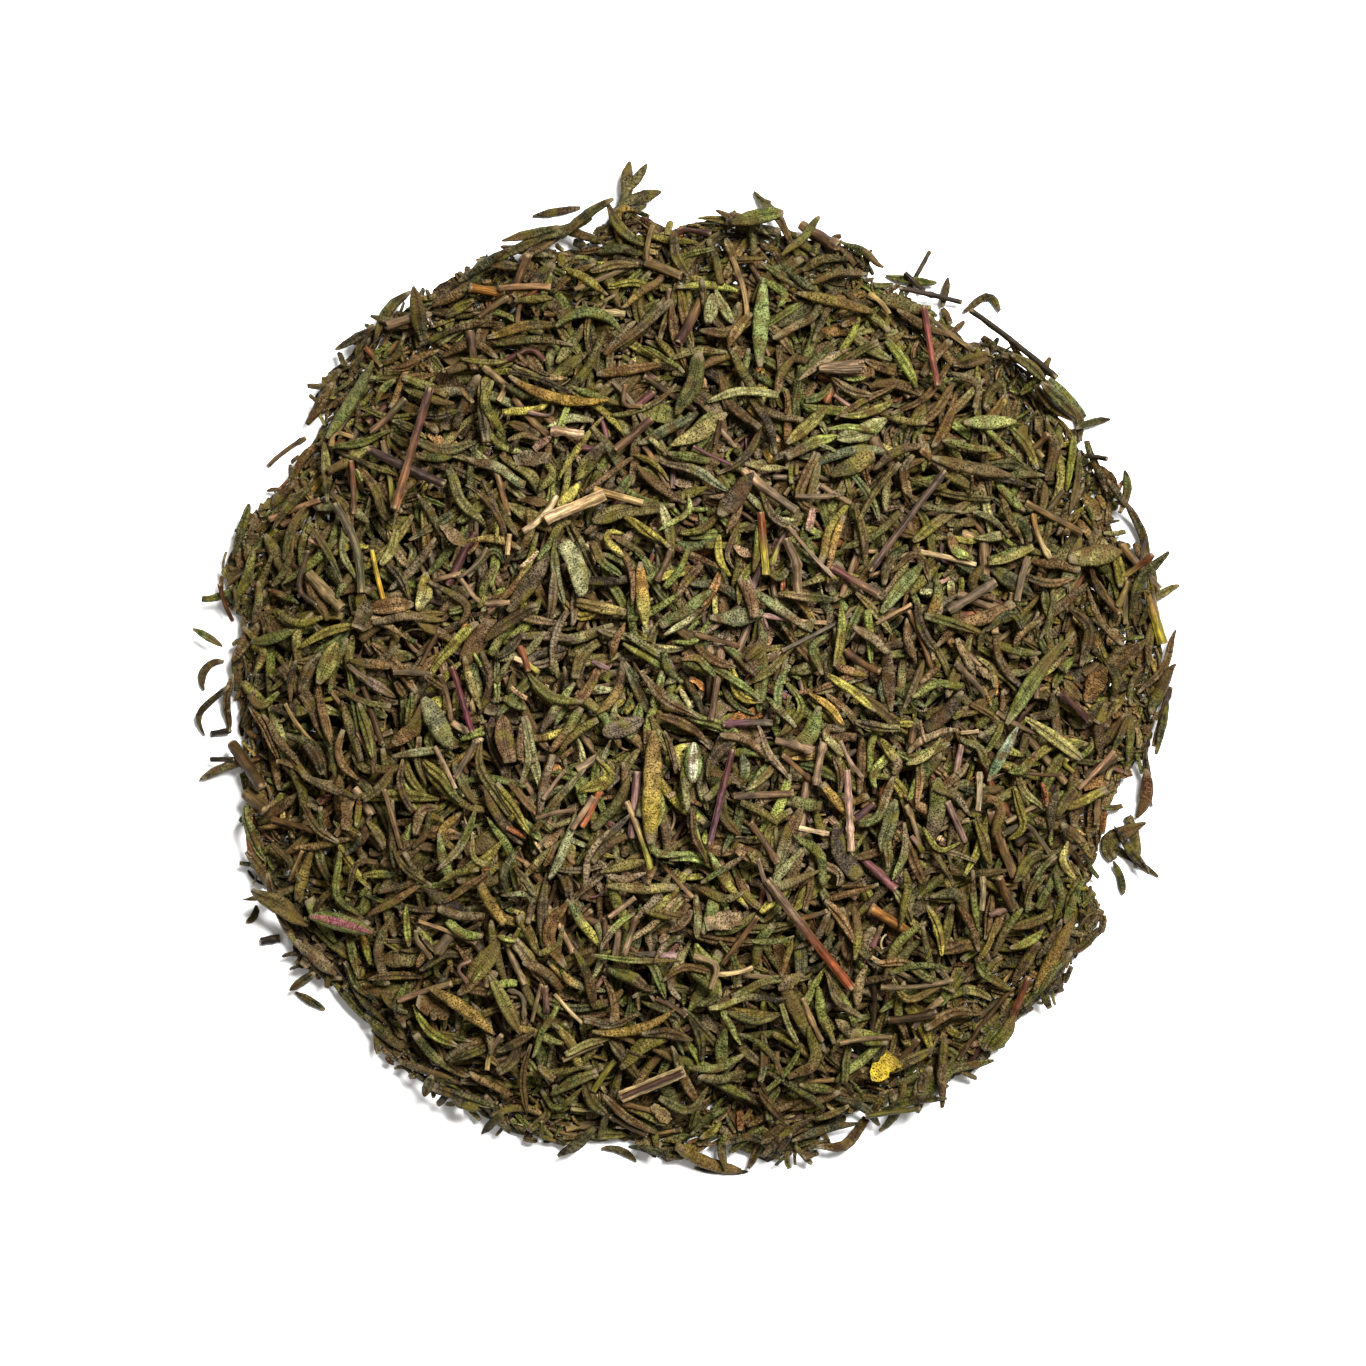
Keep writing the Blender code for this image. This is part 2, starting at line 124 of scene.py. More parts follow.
GREEN = (0.138, 0.152, 0.036)
BRIGHT_GREEN = (0.205, 0.232, 0.045)
PALE_GREEN = (0.320, 0.300, 0.120)
OLIVE = (0.155, 0.125, 0.034)
YELLOW_GREEN = (0.280, 0.245, 0.040)
GOLD = (0.330, 0.210, 0.045)
BROWN = (0.165, 0.090, 0.034)
TAUPE = (0.210, 0.148, 0.076)
DARK_GREEN = (0.075, 0.075, 0.028)
DARK_BROWN = (0.062, 0.040, 0.020)
STRAW = (0.560, 0.400, 0.200)
TAN = (0.320, 0.205, 0.105)
RUST = (0.290, 0.100, 0.038)
PLUM = (0.180, 0.068, 0.062)
PINK_TAN = (0.350, 0.200, 0.150)
ORANGE = (0.460, 0.200, 0.050)
FLAKE_YELLOW = (1.000, 0.700, 0.040)
SPRIG_OLIVE = (0.115, 0.095, 0.028)

LEAF_COLOURS = (  # how often, and which
    (0.17, OLIVE),
    (0.16, GREEN),
    (0.19, BROWN),
    (0.09, YELLOW_GREEN),
    (0.12, TAUPE),
    (0.10, BRIGHT_GREEN),
    (0.07, PALE_GREEN),
    (0.03, GOLD),
    (0.05, DARK_GREEN),
    (0.06, DARK_BROWN),
)
FLAKE_COLOURS = (
    (0.45, BROWN),
    (0.30, TAUPE),
    (0.20, OLIVE),
    (0.05, TAN),
)
STEM_COLOURS = (
    (0.34, TAN),
    (0.20, BROWN),
    (0.12, TAUPE),
    (0.06, RUST),
    (0.05, PLUM),
    (0.08, STRAW),
    (0.10, PINK_TAN),
    (0.05, YELLOW_GREEN),
)


# Leaves and stems with a known place in the CAD's own table frame. Each row is x, y, heading, length, width,
# bend and colour.
PLACED_LEAVES = (
    (-14.5, 43.4, 35, 6.4, 1.1, 0, BROWN),
    (-11.0, 44.3, -18, 5.6, 1.0, 0, OLIVE),
    (-18.8, 41.2, -8, 5.6, 1.0, 8, TAUPE),
    (-7.0, 45.4, 30, 5.6, 0.9, 0, BROWN),
    (-12.8, 44.8, 20, 6.5, 1.1, 10, GREEN),
    (-16.8, 42.8, 25, 6.2, 1.0, -12, OLIVE),
    (-20.8, 41.0, 32, 6.0, 1.0, 0, DARK_GREEN),
    (-9.2, 45.6, 8, 5.4, 0.9, 14, DARK_GREEN),
    (-12.6, 15.6, 112, 6.5, 1.2, 10, OLIVE),
    (-9.4, 17.0, 78, 6.0, 1.2, -10, GREEN),
    (-5.5, 32.8, -32, 5.3, 0.95, 0, YELLOW_GREEN),
    (0.3, 32.0, -15, 9.3, 1.2, 12, GREEN),
    (-14.6, 23.6, -39, 5.9, 1.1, 0, TAUPE),
    (-19.1, 19.4, -44, 8.9, 1.1, 0, PALE_GREEN),
    (33.1, 17.3, 240, 6.1, 0.95, 0, BRIGHT_GREEN),
    (38.5, 11.2, 238, 5.8, 1.5, 0, OLIVE),
    (33.1, 8.7, -33, 5.2, 1.7, 0, DARK_GREEN),
    (45.1, 0.8, 43, 5.6, 1.3, 0, BROWN),
    (39.7, -13.4, 90, 6.6, 1.6, 0, BROWN),
    (39.5, -2.5, -50, 2.6, 1.2, 0, TAN),
    (-27.3, -2.9, 260, 6.0, 1.35, 0, TAUPE),
    (-21.5, 2.3, 237, 5.6, 2.1, 0, BROWN),
    (-41.8, 10.9, -60, 6.0, 1.5, 0, OLIVE),
    (-45.3, 2.4, 235, 4.9, 1.3, 0, BROWN),
    (-35.8, -28.8, -36, 5.9, 1.3, 0, GREEN),
    (-16.2, -30.1, 266, 6.8, 1.1, 0, GOLD),
    (6.0, -35.1, -8, 6.6, 1.0, 25, GOLD),
    (7.5, -1.4, 267, 6.7, 1.5, 0, GREEN),
    (-5.0, -2.4, -64, 6.2, 1.2, 0, DARK_GREEN),
    (11.6, -29.3, 270, 6.4, 1.55, 0, DARK_GREEN),
    (16.2, -27.6, 279, 6.0, 1.6, 0, BROWN),
    (2.1, -18.8, -4, 5.6, 1.3, 0, BROWN),
    (29.9, -27.6, 202, 7.4, 1.1, 8, GREEN),
    (-19.8, -17.6, 217, 5.0, 2.3, 0, OLIVE),
    (-27.5, 36.0, 99, 5.5, 1.6, 0, DARK_GREEN),
    (-34.0, 33.6, 28, 4.7, 0.9, 0, DARK_BROWN),
    (13.0, -44.6, 200, 5.8, 1.3, 0, BROWN),
    (-10.2, 45.8, 217, 6.8, 1.1, 25, GREEN),
    (-13.4, 46.8, 190, 5.0, 0.9, 0, BROWN),
    (-16.0, 44.2, 194, 6.1, 0.95, 0, GREEN),
    (38.1, 27.3, -43, 5.0, 1.2, 0, GREEN),
    (41.8, 24.9, 16, 3.9, 0.8, -25, GREEN),
    (44.4, 17.4, -54, 4.2, 0.75, 0, DARK_BROWN),
    (46.7, -13.1, 262, 5.2, 1.4, -50, RUST),
    (26.6, 38.5, 78, 3.2, 0.8, 0, DARK_BROWN),
    (-48.7, -1.0, 235, 4.5, 0.9, 130, OLIVE),
    (-3.5, -50.0, -13, 5.1, 0.8, -25, DARK_GREEN),
    (-7.0, -50.4, -20, 4.0, 0.8, -60, DARK_GREEN),
    (9.9, -49.0, -124, 2.8, 0.7, 0, DARK_BROWN),
    (14.3, -47.9, 14, 7.3, 0.9, -20, DARK_GREEN),
    (-19.9, -46.8, 226, 3.3, 0.9, 0, DARK_BROWN),
    (-26.5, -43.0, 249, 2.3, 1.1, 0, DARK_GREEN),
    (-22.6, -45.0, -18, 2.9, 1.1, 0, DARK_BROWN),
    (-39.8, -31.3, 195, 4.5, 1.1, 0, OLIVE),
    (-39.5, -32.4, 215, 3.2, 1.0, 0, OLIVE),
    (-38.8, -34.5, 150, 3.6, 0.85, 0, DARK_GREEN),
    (-39.6, -28.8, -39, 4.2, 0.8, 0, DARK_BROWN),
    (-44.9, -25.5, 60, 2.2, 0.8, 90, DARK_BROWN),
    (-44.5, -19.7, 100, 2.4, 1.0, 0, BROWN),
)
PLACED_STEMS = (
    (-1.8, 35.9, -90, 5.5, 0.6, 0, PINK_TAN),
    (-5.0, 26.6, 220, 4.1, 0.7, 0, PLUM),
    (20.1, 30.4, 132, 7.9, 0.6, 0, TAUPE),
    (30.0, 6.5, -19, 5.1, 0.95, 0, TAN),
    (30.4, 10.2, -88, 5.0, 1.0, 0, TAN),
    (-5.3, -14.1, 265, 6.8, 0.9, 0, PINK_TAN),
    (12.2, -12.8, 261, 9.3, 0.8, 6, TAN),
    (-9.7, -9.7, 31, 3.6, 0.8, 0, STRAW),
    (20.8, -26.0, -34, 5.0, 0.95, 0, ORANGE),
    (21.1, -45.7, 8, 5.7, 0.5, 0, YELLOW_GREEN),
    (30.7, -36.7, 233, 9.5, 0.5, 8, BROWN),
    (-25.9, 10.1, -79, 6.6, 0.65, 0, TAUPE),
    (-23.0, 10.9, 243, 6.1, 0.8, 0, PLUM),
    (-45.1, -10.2, -53, 5.6, 1.1, 0, BROWN),
    (-44.2, -13.9, -40, 2.8, 1.3, 0, TAN),
    (33.5, 33.0, -39, 11.2, 0.6, -6, DARK_BROWN),
    (23.4, 39.5, -44, 2.8, 0.5, 0, DARK_BROWN),
    (-47.3, 6.5, -72, 4.0, 0.4, 20, RUST),
    (-48.0, -6.8, 10, 2.1, 0.6, 0, DARK_BROWN),
    (-47.7, -9.6, 0, 2.6, 0.5, 0, DARK_BROWN),
    (-17.2, 39.7, 67, 5.2, 0.8, 0, PINK_TAN),
    (-20.7, 38.5, -9, 3.1, 0.9, 0, ORANGE),
    (-30.7, 26.7, 42, 5.4, 0.8, 0, PLUM),
    (31.4, -11.6, -65, 8.3, 0.7, 30, RUST),
    (22.6, -12.9, 200, 8.5, 0.3, 150, RUST),
    (26.2, -16.5, 199, 4.4, 0.6, 0, STRAW),
    (36.6, -9.4, -51, 6.7, 0.8, 0, TAN),
    (42.0, 21.4, -10, 2.2, 0.5, 0, DARK_BROWN),
    (-42.9, -28.2, 10, 2.0, 0.8, 0, DARK_BROWN),
    (-14.9, -47.5, 90, 1.7, 0.4, 0, YELLOW_GREEN),
)

# ---- what a piece is like before it is laid down ----

COLOUR_SPREAD = 0.42
MOST_LIGHTENED = 1.2  # no colour is lightened by more than this many spreads
HOOKED_SHARE = 0.13
FLAT_SHARE = 0.06  # share of the leaves that are wide and flat
BLUNT_SHARE = 0.15  # share of the leaves' ends that are blunt
TWO_COLOURED = 0.35  # share of the leaves and stems whose two halves differ in colour
BLUNTNESS = 2.4  # the higher, the longer a leaf keeps its width towards its ends
LEAF_LENGTH = (5.9, 1.15, 3.4, 9.0)  # mean, spread, least and most
LEAF_WIDTH = (0.97, 0.16, 0.65, 1.4)
FLAT_LEAF_WIDTH = (1.4, 2.1)  # least and most
STEM_LENGTH = (4.6, 1.6, 1.8, 9.0)
STEM_WIDTH = (0.35, 1.1)
STEM_NODE_SHARES = (0.12, 0.5, 0.86)  # where a stem may have nodes
NODED_SHARE = 0.3
STIFF_FROM = 0.6  # stems wider than this hardly bend
HOLLOW_FROM = 0.85  # and those wider than this are hollow
FLAKE_THICKNESS = 0.3


@dataclass
class Bit:
    """One leaf, flake or stem. Angles are degrees, and shares run from its foot to its tip."""

    kind: str
    length: float
    width: float
    thickness: float
    tint: tuple
    bend: float = 0.0  # to the left, over the stretch bend_at
    tip_tint: tuple = ()  # the colour of its outer half, where it differs
    bend_at: tuple = (0.0, 1.0)
    sway: float = 0.0  # how far it turns one way and back again
    bow: float = 0.0  # how far its middle stands above its ends
    roll: float = 0.0  # 180 is face down
    twist: float = 0.0
    foot: float = 0.3  # the ends' widths, as shares of the widest
    tip: float = 0.2
    belly: float = 1.0  # above 1, it is widest nearer its tip
    nodes: tuple = ()
    hollow: bool = False
    luck: float = 0.5  # a number of its own, for what differs from leaf to leaf


def pick(table):
    """One of the table's choices, each as often as the number before it says."""
    weights = np.array([weight for weight, _ in table])
    return table[RANDOM.choice(len(table), p=weights / weights.sum())][1]


def vary(tint, spread=COLOUR_SPREAD):
    """A colour a little lighter or darker, and a little warmer or colder, than this one."""
    lightness = math.exp(min(RANDOM.normal(0, spread), MOST_LIGHTENED * spread))
    warmth = RANDOM.normal(0, spread / 8)
    red, green, blue = tint
    return red * lightness * (1 + warmth), green * lightness, blue * lightness * (1 - 2 * warmth)


def random_bend(spread=28.0):
    """Most bend gently. A few are hooked over a short stretch."""
    if RANDOM.random() > HOOKED_SHARE:
        return RANDOM.normal(0, spread), (0.0, 1.0)
    start = RANDOM.uniform(0.1, 0.6)
    return RANDOM.choice((-1, 1)) * RANDOM.uniform(40, 120), (start, start + 0.3)


def usual(mean, spread, least, most):
    """A number that is mostly near the mean, and always between the limits."""
    return float(np.clip(RANDOM.normal(mean, spread), least, most))


def random_leaf():
    flat = RANDOM.random() < FLAT_SHARE
    length = usual(*LEAF_LENGTH)
    width = RANDOM.uniform(*FLAT_LEAF_WIDTH) if flat else usual(*LEAF_WIDTH)
    bend, bend_at = random_bend()
    tint = vary(pick(LEAF_COLOURS))
    return Bit(
        "leaf",
        length,
        width,
        min(1.0, width * RANDOM.uniform(0.72, 0.95)) * (0.6 if flat else 1),
        tint,
        bend,
        tint if RANDOM.random() > TWO_COLOURED else vary(pick(LEAF_COLOURS)),
        bend_at,
        sway=RANDOM.normal(0, 11),
        bow=RANDOM.normal(0, 0.25),
        roll=RANDOM.choice((0, 180)) + RANDOM.normal(0, 20),
        twist=RANDOM.normal(0, 45),
        foot=0.7 if RANDOM.random() < BLUNT_SHARE else RANDOM.uniform(0.2, 0.38),
        tip=0.75 if RANDOM.random() < BLUNT_SHARE else RANDOM.uniform(0.08, 0.3),
        belly=RANDOM.uniform(0.75, 1.3),
        luck=RANDOM.random(),
    )


def random_crumb():
    length = RANDOM.uniform(0.9, 2.6)
    width = RANDOM.uniform(0.45, 0.95)
    return Bit(
        "leaf",
        length,
        width,
        width * RANDOM.uniform(0.4, 0.7),
        vary(pick(STEM_COLOURS if RANDOM.random() < 0.3 else LEAF_COLOURS)),
        RANDOM.normal(0, 25),
        roll=RANDOM.uniform(0, 360),
        foot=RANDOM.uniform(0.4, 0.9),
        tip=RANDOM.uniform(0.3, 0.9),
        luck=RANDOM.random(),
    )


def random_flake():
    tint = ORANGE if RANDOM.random() < 0.06 else pick(FLAKE_COLOURS)
    length = RANDOM.uniform(1.8, 4.2)
    return Bit(
        "flake",
        length,
        length * RANDOM.uniform(0.3, 0.55),
        FLAKE_THICKNESS,
        vary(tint),
        RANDOM.normal(0, 25),
        bow=RANDOM.normal(0, 0.2),
        roll=RANDOM.normal(0, 25),
        twist=RANDOM.normal(0, 20),
        foot=RANDOM.uniform(0.4, 0.8),
        tip=RANDOM.uniform(0.2, 0.7),
        luck=RANDOM.random(),
    )


def random_stem():
    thick = float(np.clip(RANDOM.lognormal(-0.5, 0.25), *STEM_WIDTH))
    length = usual(*STEM_LENGTH)
    bend, bend_at = (RANDOM.normal(0, 9), (0.0, 1.0)) if thick > STIFF_FROM else random_bend(20)
    nodes = tuple(share for share in STEM_NODE_SHARES if RANDOM.random() < NODED_SHARE)
    tint = vary(pick(STEM_COLOURS))
    return Bit(
        "stem",
        length,
        thick,
        thick,
        tint,
        bend,
        tint if RANDOM.random() > TWO_COLOURED else vary(pick(STEM_COLOURS)),
        bend_at,
        bow=RANDOM.normal(0, 0.15),
        roll=RANDOM.uniform(0, 360),
        nodes=nodes,
        hollow=thick > HOLLOW_FROM,
        luck=RANDOM.random(),
    )


def random_tendril():
    """A thin thread, strongly bent."""
    thick = RANDOM.uniform(0.14, 0.26)
    bend = RANDOM.choice((-1, 1)) * RANDOM.uniform(60, 200)
    tint = vary(pick(STEM_COLOURS))
    return Bit("stem", RANDOM.uniform(2.5, 6), thick, thick, tint, bend, bow=0.3, luck=RANDOM.random())


BIT_MAKERS = (
    (0.81, random_leaf),
    (0.09, random_stem),
    (0.075, random_crumb),
    (0.02, random_flake),
    (0.005, random_tendril),
)
STREWN_MAKERS = (
    (0.87, random_leaf),
    (0.09, random_stem),
    (0.03, random_crumb),
    (0.01, random_flake),
)
CARPET_MAKERS = (
    (0.65, random_leaf),
    (0.35, random_crumb),
)
RIM_MAKERS = (
    (0.62, random_leaf),
    (0.08, random_stem),
    (0.30, random_crumb),
)


def outline(bit, shares):
    """A leaf's width along its length, as a share of its widest."""
    across = 2 * shares**bit.belly - 1
    ends = np.where(across < 0, bit.foot, bit.tip)
    return ends + (1 - ends) * (1 - np.abs(across) ** BLUNTNESS)


def flat_line(bit, shares):
    """Points (x, y, height) along the bit. Its middle is at 0 and its ends are level with each other."""
    steps = np.linspace(0, 1, 61)
    start, stop = bit.bend_at
    turned = np.radians(bit.bend) * (np.clip((steps - start) / (stop - start), 0, 1) - 0.5)
    turned += np.radians(bit.sway) * np.sin(2 * math.pi * steps)
    step = bit.length / (len(steps) - 1)
    x = np.cumsum(np.cos(turned)) * step
    y = np.cumsum(np.sin(turned)) * step
    x -= (x[0] + x[-1]) / 2
    y -= (y[0] + y[-1]) / 2
    height = bit.bow * (1 - (2 * shares - 1) ** 2)
    return np.stack((np.interp(shares, steps, x), np.interp(shares, steps, y), height), 1)


def interpolated(shares, given, values):
    """Rows of three values, known at the given shares of a length, at these other shares."""
    return np.stack([np.interp(shares, given, values[:, axis]) for axis in range(3)], 1)


def to_the_left(xy):
    """The direction square to a line of (x, y) points, at each of them."""
    ahead = np.gradient(xy, axis=-2)
    ahead /= np.maximum(np.linalg.norm(ahead, axis=-1, keepdims=True), 1e-6)
    return np.stack((-ahead[..., 1], ahead[..., 0]), -1)


def turned_by(flat, headings):
    """The line's (x, y) points turned to each of these headings (radians)."""
    cos, sin = np.cos(headings)[:, None], np.sin(headings)[:, None]
    x, y = flat[:, 0], flat[:, 1]
    return np.stack((x * cos - y * sin, x * sin + y * cos), 2)


# ---- the map of heights ----


def cells_of(xy):
    index = np.clip(((xy + REACH) / CELL).astype(int), 0, CELLS - 1)
    return index[..., 0], index[..., 1]


def node_tree(name):
    mesh = frame["nodes"][name].data
    corners = [v.co / MM for v in mesh.vertices]
    faces = [tuple(p.vertices) for p in mesh.polygons]
    return BVHTree.FromPolygons(corners, faces)


def node_box(name):
    low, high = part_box(name)
    return np.array(low) / MM, np.array(high) / MM


def node_heights(name, from_above, missing, step=1):
    """A map of a CAD node's height seen from above or below, every so many cells, and missing elsewhere."""
    tree = node_tree(name)
    low, high = node_box(name)
    heights = np.full((CELLS, CELLS), float(missing))
    first_x, first_y = cells_of(low[:2] - 2 * CELL)
    last_x, last_y = cells_of(high[:2] + 2 * CELL)
    start, way = (high[2] + 1, -1) if from_above else (low[2] - 1, 1)
    for i in range(first_x, last_x + 1, step):
        for j in range(first_y, last_y + 1, step):
            x, y = (i + step / 2) * CELL - REACH, (j + step / 2) * CELL - REACH
            hit = tree.ray_cast(Vector((x, y, start)), Vector((0, 0, way)))[0]
            if hit:
                heights[i : i + step, j : j + step] = hit.z
    return heights


def bumps(size):
    """A map of smooth random bumps about this far apart, between -1 and 1."""
    count = int(2 * REACH / size) + 2
    coarse = RANDOM.uniform(-1, 1, (count, count))
    at = np.arange(CELLS) * CELL / size
    low = at.astype(int)
    part = at - low
    part = part * part * (3 - 2 * part)
    rows = coarse[low] * (1 - part)[:, None] + coarse[low + 1] * part[:, None]
    return rows[:, low] * (1 - part) + rows[:, low + 1] * part


def under_named_pieces():
    """How high anything may reach under each piece that has a node of its own."""
    room = np.full((CELLS, CELLS), OUT_OF_REACH)
    for name in frame["nodes"]:
        if name != "packed_leaves":
            below = node_heights(name, False, OUT_OF_REACH)
            room = np.minimum(room, np.where(below < OUT_OF_REACH, below + SINK, OUT_OF_REACH))
    return room


def within_edge(dome, middle):
    """Where the heap lies: the CAD dome, with an edge that wanders in and out a little."""
    centres = (np.arange(CELLS) + 0.5) * CELL - REACH
    cells = np.stack(np.meshgrid(centres, centres, indexing="ij"), 2)
    inward = middle - cells
    inward /= np.linalg.norm(inward, axis=2, keepdims=True)
    mean, wander = EDGE_WANDER
    reach = mean + wander * bumps(EDGE_BUMP_SIZE)
    return dome[cells_of(cells + inward * reach[..., None])] > 0


def room_over(dome, inside, ceiling, proud):
    """How high the heap may reach: this far over the dome and no higher than the ceiling."""
    room = np.maximum(dome + proud + RELIEF * bumps(RELIEF_SIZE), LEAST_ROOM)
    return np.where(inside, np.minimum(room, ceiling), 0)


def leaning_slopes(ground, run):
    """How a bit slopes on each row of ground heights, which lie this far along it from its middle.

    It leans on two points, one behind its middle and one before it: those that hold its middle highest.
    """
    behind = np.flatnonzero(run < 0)
    before = np.flatnonzero(run >= 0)
    gap = run[before][None] - run[behind][:, None]
    rise = ground[:, None, before] - ground[:, behind][:, :, None]
    slopes = rise / np.maximum(gap, 1e-3)
    middles = ground[:, behind][:, :, None] - slopes * run[behind][:, None]
    rows = len(ground)
    highest = middles.reshape(rows, -1).argmax(1)
    return slopes.reshape(rows, -1)[np.arange(rows), highest]


class Heap:
    """The heights of what lies on the table so far, and how high it may get."""

    def __init__(self, room):
        self.room = room
        self.closed = np.full((CELLS, CELLS), OUT_OF_REACH)  # where nothing more may lie over a piece
        self.top = np.zeros((CELLS, CELLS))
        self.laid = []  # (bit, line)

    def rest(self, bit, spots, headings):
        """Where the bit would come to rest at each spot.

        Gives its line at each, how far its top stays under the room there, and its line's mean height.
        """
        flat = flat_line(bit, REST_SHARES)
        xy = spots[:, None] + turned_by(flat, headings)
        aside = to_the_left(xy) * bit.width / 2
        across = xy[:, :, None] + aside[:, :, None] * EDGE_SAMPLES[None, None, :, None]
        ground = self.top[cells_of(across)].max(2) - flat[:, 2]
        run = flat[:, 0]
        steepness = leaning_slopes(ground, run)
        slope = np.clip(steepness, -STEEPEST, STEEPEST)[:, None]
        middle = (ground - slope * run).max(1)[:, None]
        rested = middle + slope * run + flat[:, 2] + bit.thickness / 2 - SINK
        rested = np.maximum(rested, bit.thickness / 2)
        spare = (self.room[cells_of(xy)] - rested - bit.thickness / 2).min(1)
        spare = np.where(np.abs(steepness) > STEEPEST, -OUT_OF_REACH, spare)
        return np.concatenate((xy, rested[..., None]), 2), spare, rested.mean(1)

    def add(self, bit, line):
        """Lays the bit along this line, and raises the map to its top."""
        count = max(8, int(FOOTPRINT_STEPS * bit.length / CELL))
        shares = np.linspace(0, 1, count)
        points = interpolated(shares, np.linspace(0, 1, len(line)), line)
        aside = to_the_left(points[:, :2]) * (bit.width / 2 * outline(bit, shares))[:, None]
        across = np.linspace(-FOOTPRINT, FOOTPRINT, max(3, int(bit.width / CELL) + 2))
        xy = points[:, None, :2] + aside[:, None] * across[None, :, None]
        crown = points[:, 2, None] + bit.thickness / 2 * np.sqrt(1 - across**2)
        np.maximum.at(self.top, cells_of(xy), crown)
        self.laid.append((bit, line))

    def emptiest(self, spots, count):
        """The spots where the heap is lowest for the room there is."""
        cells = cells_of(spots)
        emptiness = 1 - self.top[cells] / np.maximum(self.room[cells], 0.01)
        order = np.argsort(np.where(self.room[cells] > 0, emptiness, -OUT_OF_REACH))
        return spots[order[-count:]]


def headings_at(spots, middle, rim):
    """Any heading, but mostly along the rim near it."""
    out = spots - middle
    along_rim = np.arctan2(out[:, 1], out[:, 0]) + math.pi / 2 + RANDOM.normal(0, RIM_SPREAD, len(spots))
    free = RANDOM.uniform(0, 2 * math.pi, len(spots))
    near = np.linalg.norm(out, axis=1) > rim - RIM_WIDTH
    return np.where(near & (RANDOM.random(len(spots)) < RIM_SHARE), along_rim, free)


def strew(heap, middle, rim):
    """Lays leaves on top of the filling, whole and in sight, wherever there is most room for them."""
    for _ in range(STREWN):
        bit = pick(STREWN_MAKERS)()
        spots = spots_between(middle, 0, rim, STREWN_TRIES)
        lines, spare, _ = heap.rest(bit, spots, headings_at(spots, middle, rim))
        if spare.max() > 0:
            heap.add(bit, lines[spare.argmax()])


def close_gaps(heap):
    """Lays crumbs over the deepest gaps, and over every one that shows the table."""
    for _ in range(MOST_PLUGS):
        depth = np.where(heap.top > 0, heap.room - heap.top, OUT_OF_REACH)
        depth = np.where(heap.room > 0, depth, 0)
        deepest = np.unravel_index(depth.argmax(), depth.shape)
        if depth[deepest] < DEEPEST_GAP:
            return
        bit = random_crumb()
        spot = (np.array([deepest]) + 0.5) * CELL - REACH
        lines, _, _ = heap.rest(bit, spot, RANDOM.uniform(0, math.pi, 1))
        heap.add(bit, lines[0])
        heap.top[deepest] = max(heap.top[deepest], lines[0][:, 2].mean())


def scatter_strays(heap, middle, rim):
    """Lays loose leaves on the table along the rim, some of them leaning on the heap."""
    inner, outer = STRAY_BAND
    for _ in range(STRAYS):
        bit = pick(STREWN_MAKERS)()
        spots = spots_between(middle, rim + inner, rim + outer, 1)
        lines, spare, _ = heap.rest(bit, spots, headings_at(spots, middle, rim))
        if spare[0] > -OUT_OF_REACH:
            heap.add(bit, lines[0])


def lay_by_hand(heap, ceiling, middle):
    """Lays the leaves and stems that have a known place but no node of their own."""
    to_frame = middle - DOME_MIDDLE
    rows = [("leaf", row) for row in PLACED_LEAVES] + [("stem", row) for row in PLACED_STEMS]
    for kind, (x, y, heading, length, width, bend, tint) in rows:
        thickness = min(width * HAND_LAID_THICKNESS[kind], MOST_HAND_LAID_THICKNESS)
        roll = RANDOM.choice((0, 180))
        bit = Bit(kind, length, width, thickness, tint, bend, roll=roll, luck=RANDOM.random())
        spot = np.array([(x, y)]) + to_frame
        lines, _, _ = heap.rest(bit, spot, np.radians([heading]))
        cells = cells_of(lines[0][:, :2])
        if (lines[0][:, 2] - ceiling[cells]).max() > MOST_OVERLAP:
            continue
        heap.add(bit, lines[0])
        heap.closed[cells] = np.minimum(heap.closed[cells], heap.top[cells])


def spots_between(middle, inner, outer, count):
    """Random spots in a ring, evenly spread."""
    reach = np.sqrt(RANDOM.uniform(inner**2, outer**2, count))
    angle = RANDOM.uniform(0, 2 * math.pi, count)
    return middle + np.stack((np.cos(angle), np.sin(angle)), 1) * reach[:, None]


def fill(heap, makers, middle, rim, inner, most_misses):
    """Lays bits where the heap is lowest, from the inner radius outwards, until hardly any more fit."""
    misses = 0
    while misses < most_misses and len(heap.laid) < MOST_BITS:
        bit = pick(makers)()
        sampled = spots_between(middle, inner, rim + EDGE_WANDER[1], SAMPLED_SPOTS)
        spots = np.repeat(heap.emptiest(sampled, TRIED_SPOTS), HEADINGS_PER_SPOT, axis=0)
        lines, spare, level = heap.rest(bit, spots, headings_at(spots, middle, rim))
        fits = spare > 0
        if not fits.any():
            misses += 1
            continue
        misses = 0
        depth = heap.room[cells_of(lines[..., :2])].mean(1) - level + RANDOM.normal(0, LOOSENESS, len(level))
        heap.add(bit, lines[np.where(fits, depth, -OUT_OF_REACH).argmax()])


# ---- strands: rings of points along a line ----

# Half a leaf's section, from its edge to its middle: across, up, and painted shade: 1 in a groove, -1 at the
# edge.
UPPER_HALF = (
    (1.00, 0.00, -1.0),
    (0.84, 0.60, -0.4),
    (0.50, 0.95, 0.0),
    (0.16, 0.96, 0.1),
)
LOWER_HALF = (
    (0.88, -0.62, -0.4),
    (0.58, -0.90, 0.0),
    (0.28, -0.80, 0.2),
    (0.12, -0.44, 0.9),
)
UPPER_MIDDLE = (0.00, 0.86, 0.4)
LOWER_MIDDLE = (0.00, -0.58, 0.2)


def mirrored(half):
    return tuple((-across, up, groove) for across, up, groove in half)


UPPER_SIDE = (*UPPER_HALF, UPPER_MIDDLE, *mirrored(UPPER_HALF)[::-1])
LOWER_SIDE = (*mirrored(LOWER_HALF), LOWER_MIDDLE, *LOWER_HALF[::-1])
LEAF_SECTION = np.array(UPPER_SIDE + LOWER_SIDE)
PLAIN_SECTION = LEAF_SECTION[::3]


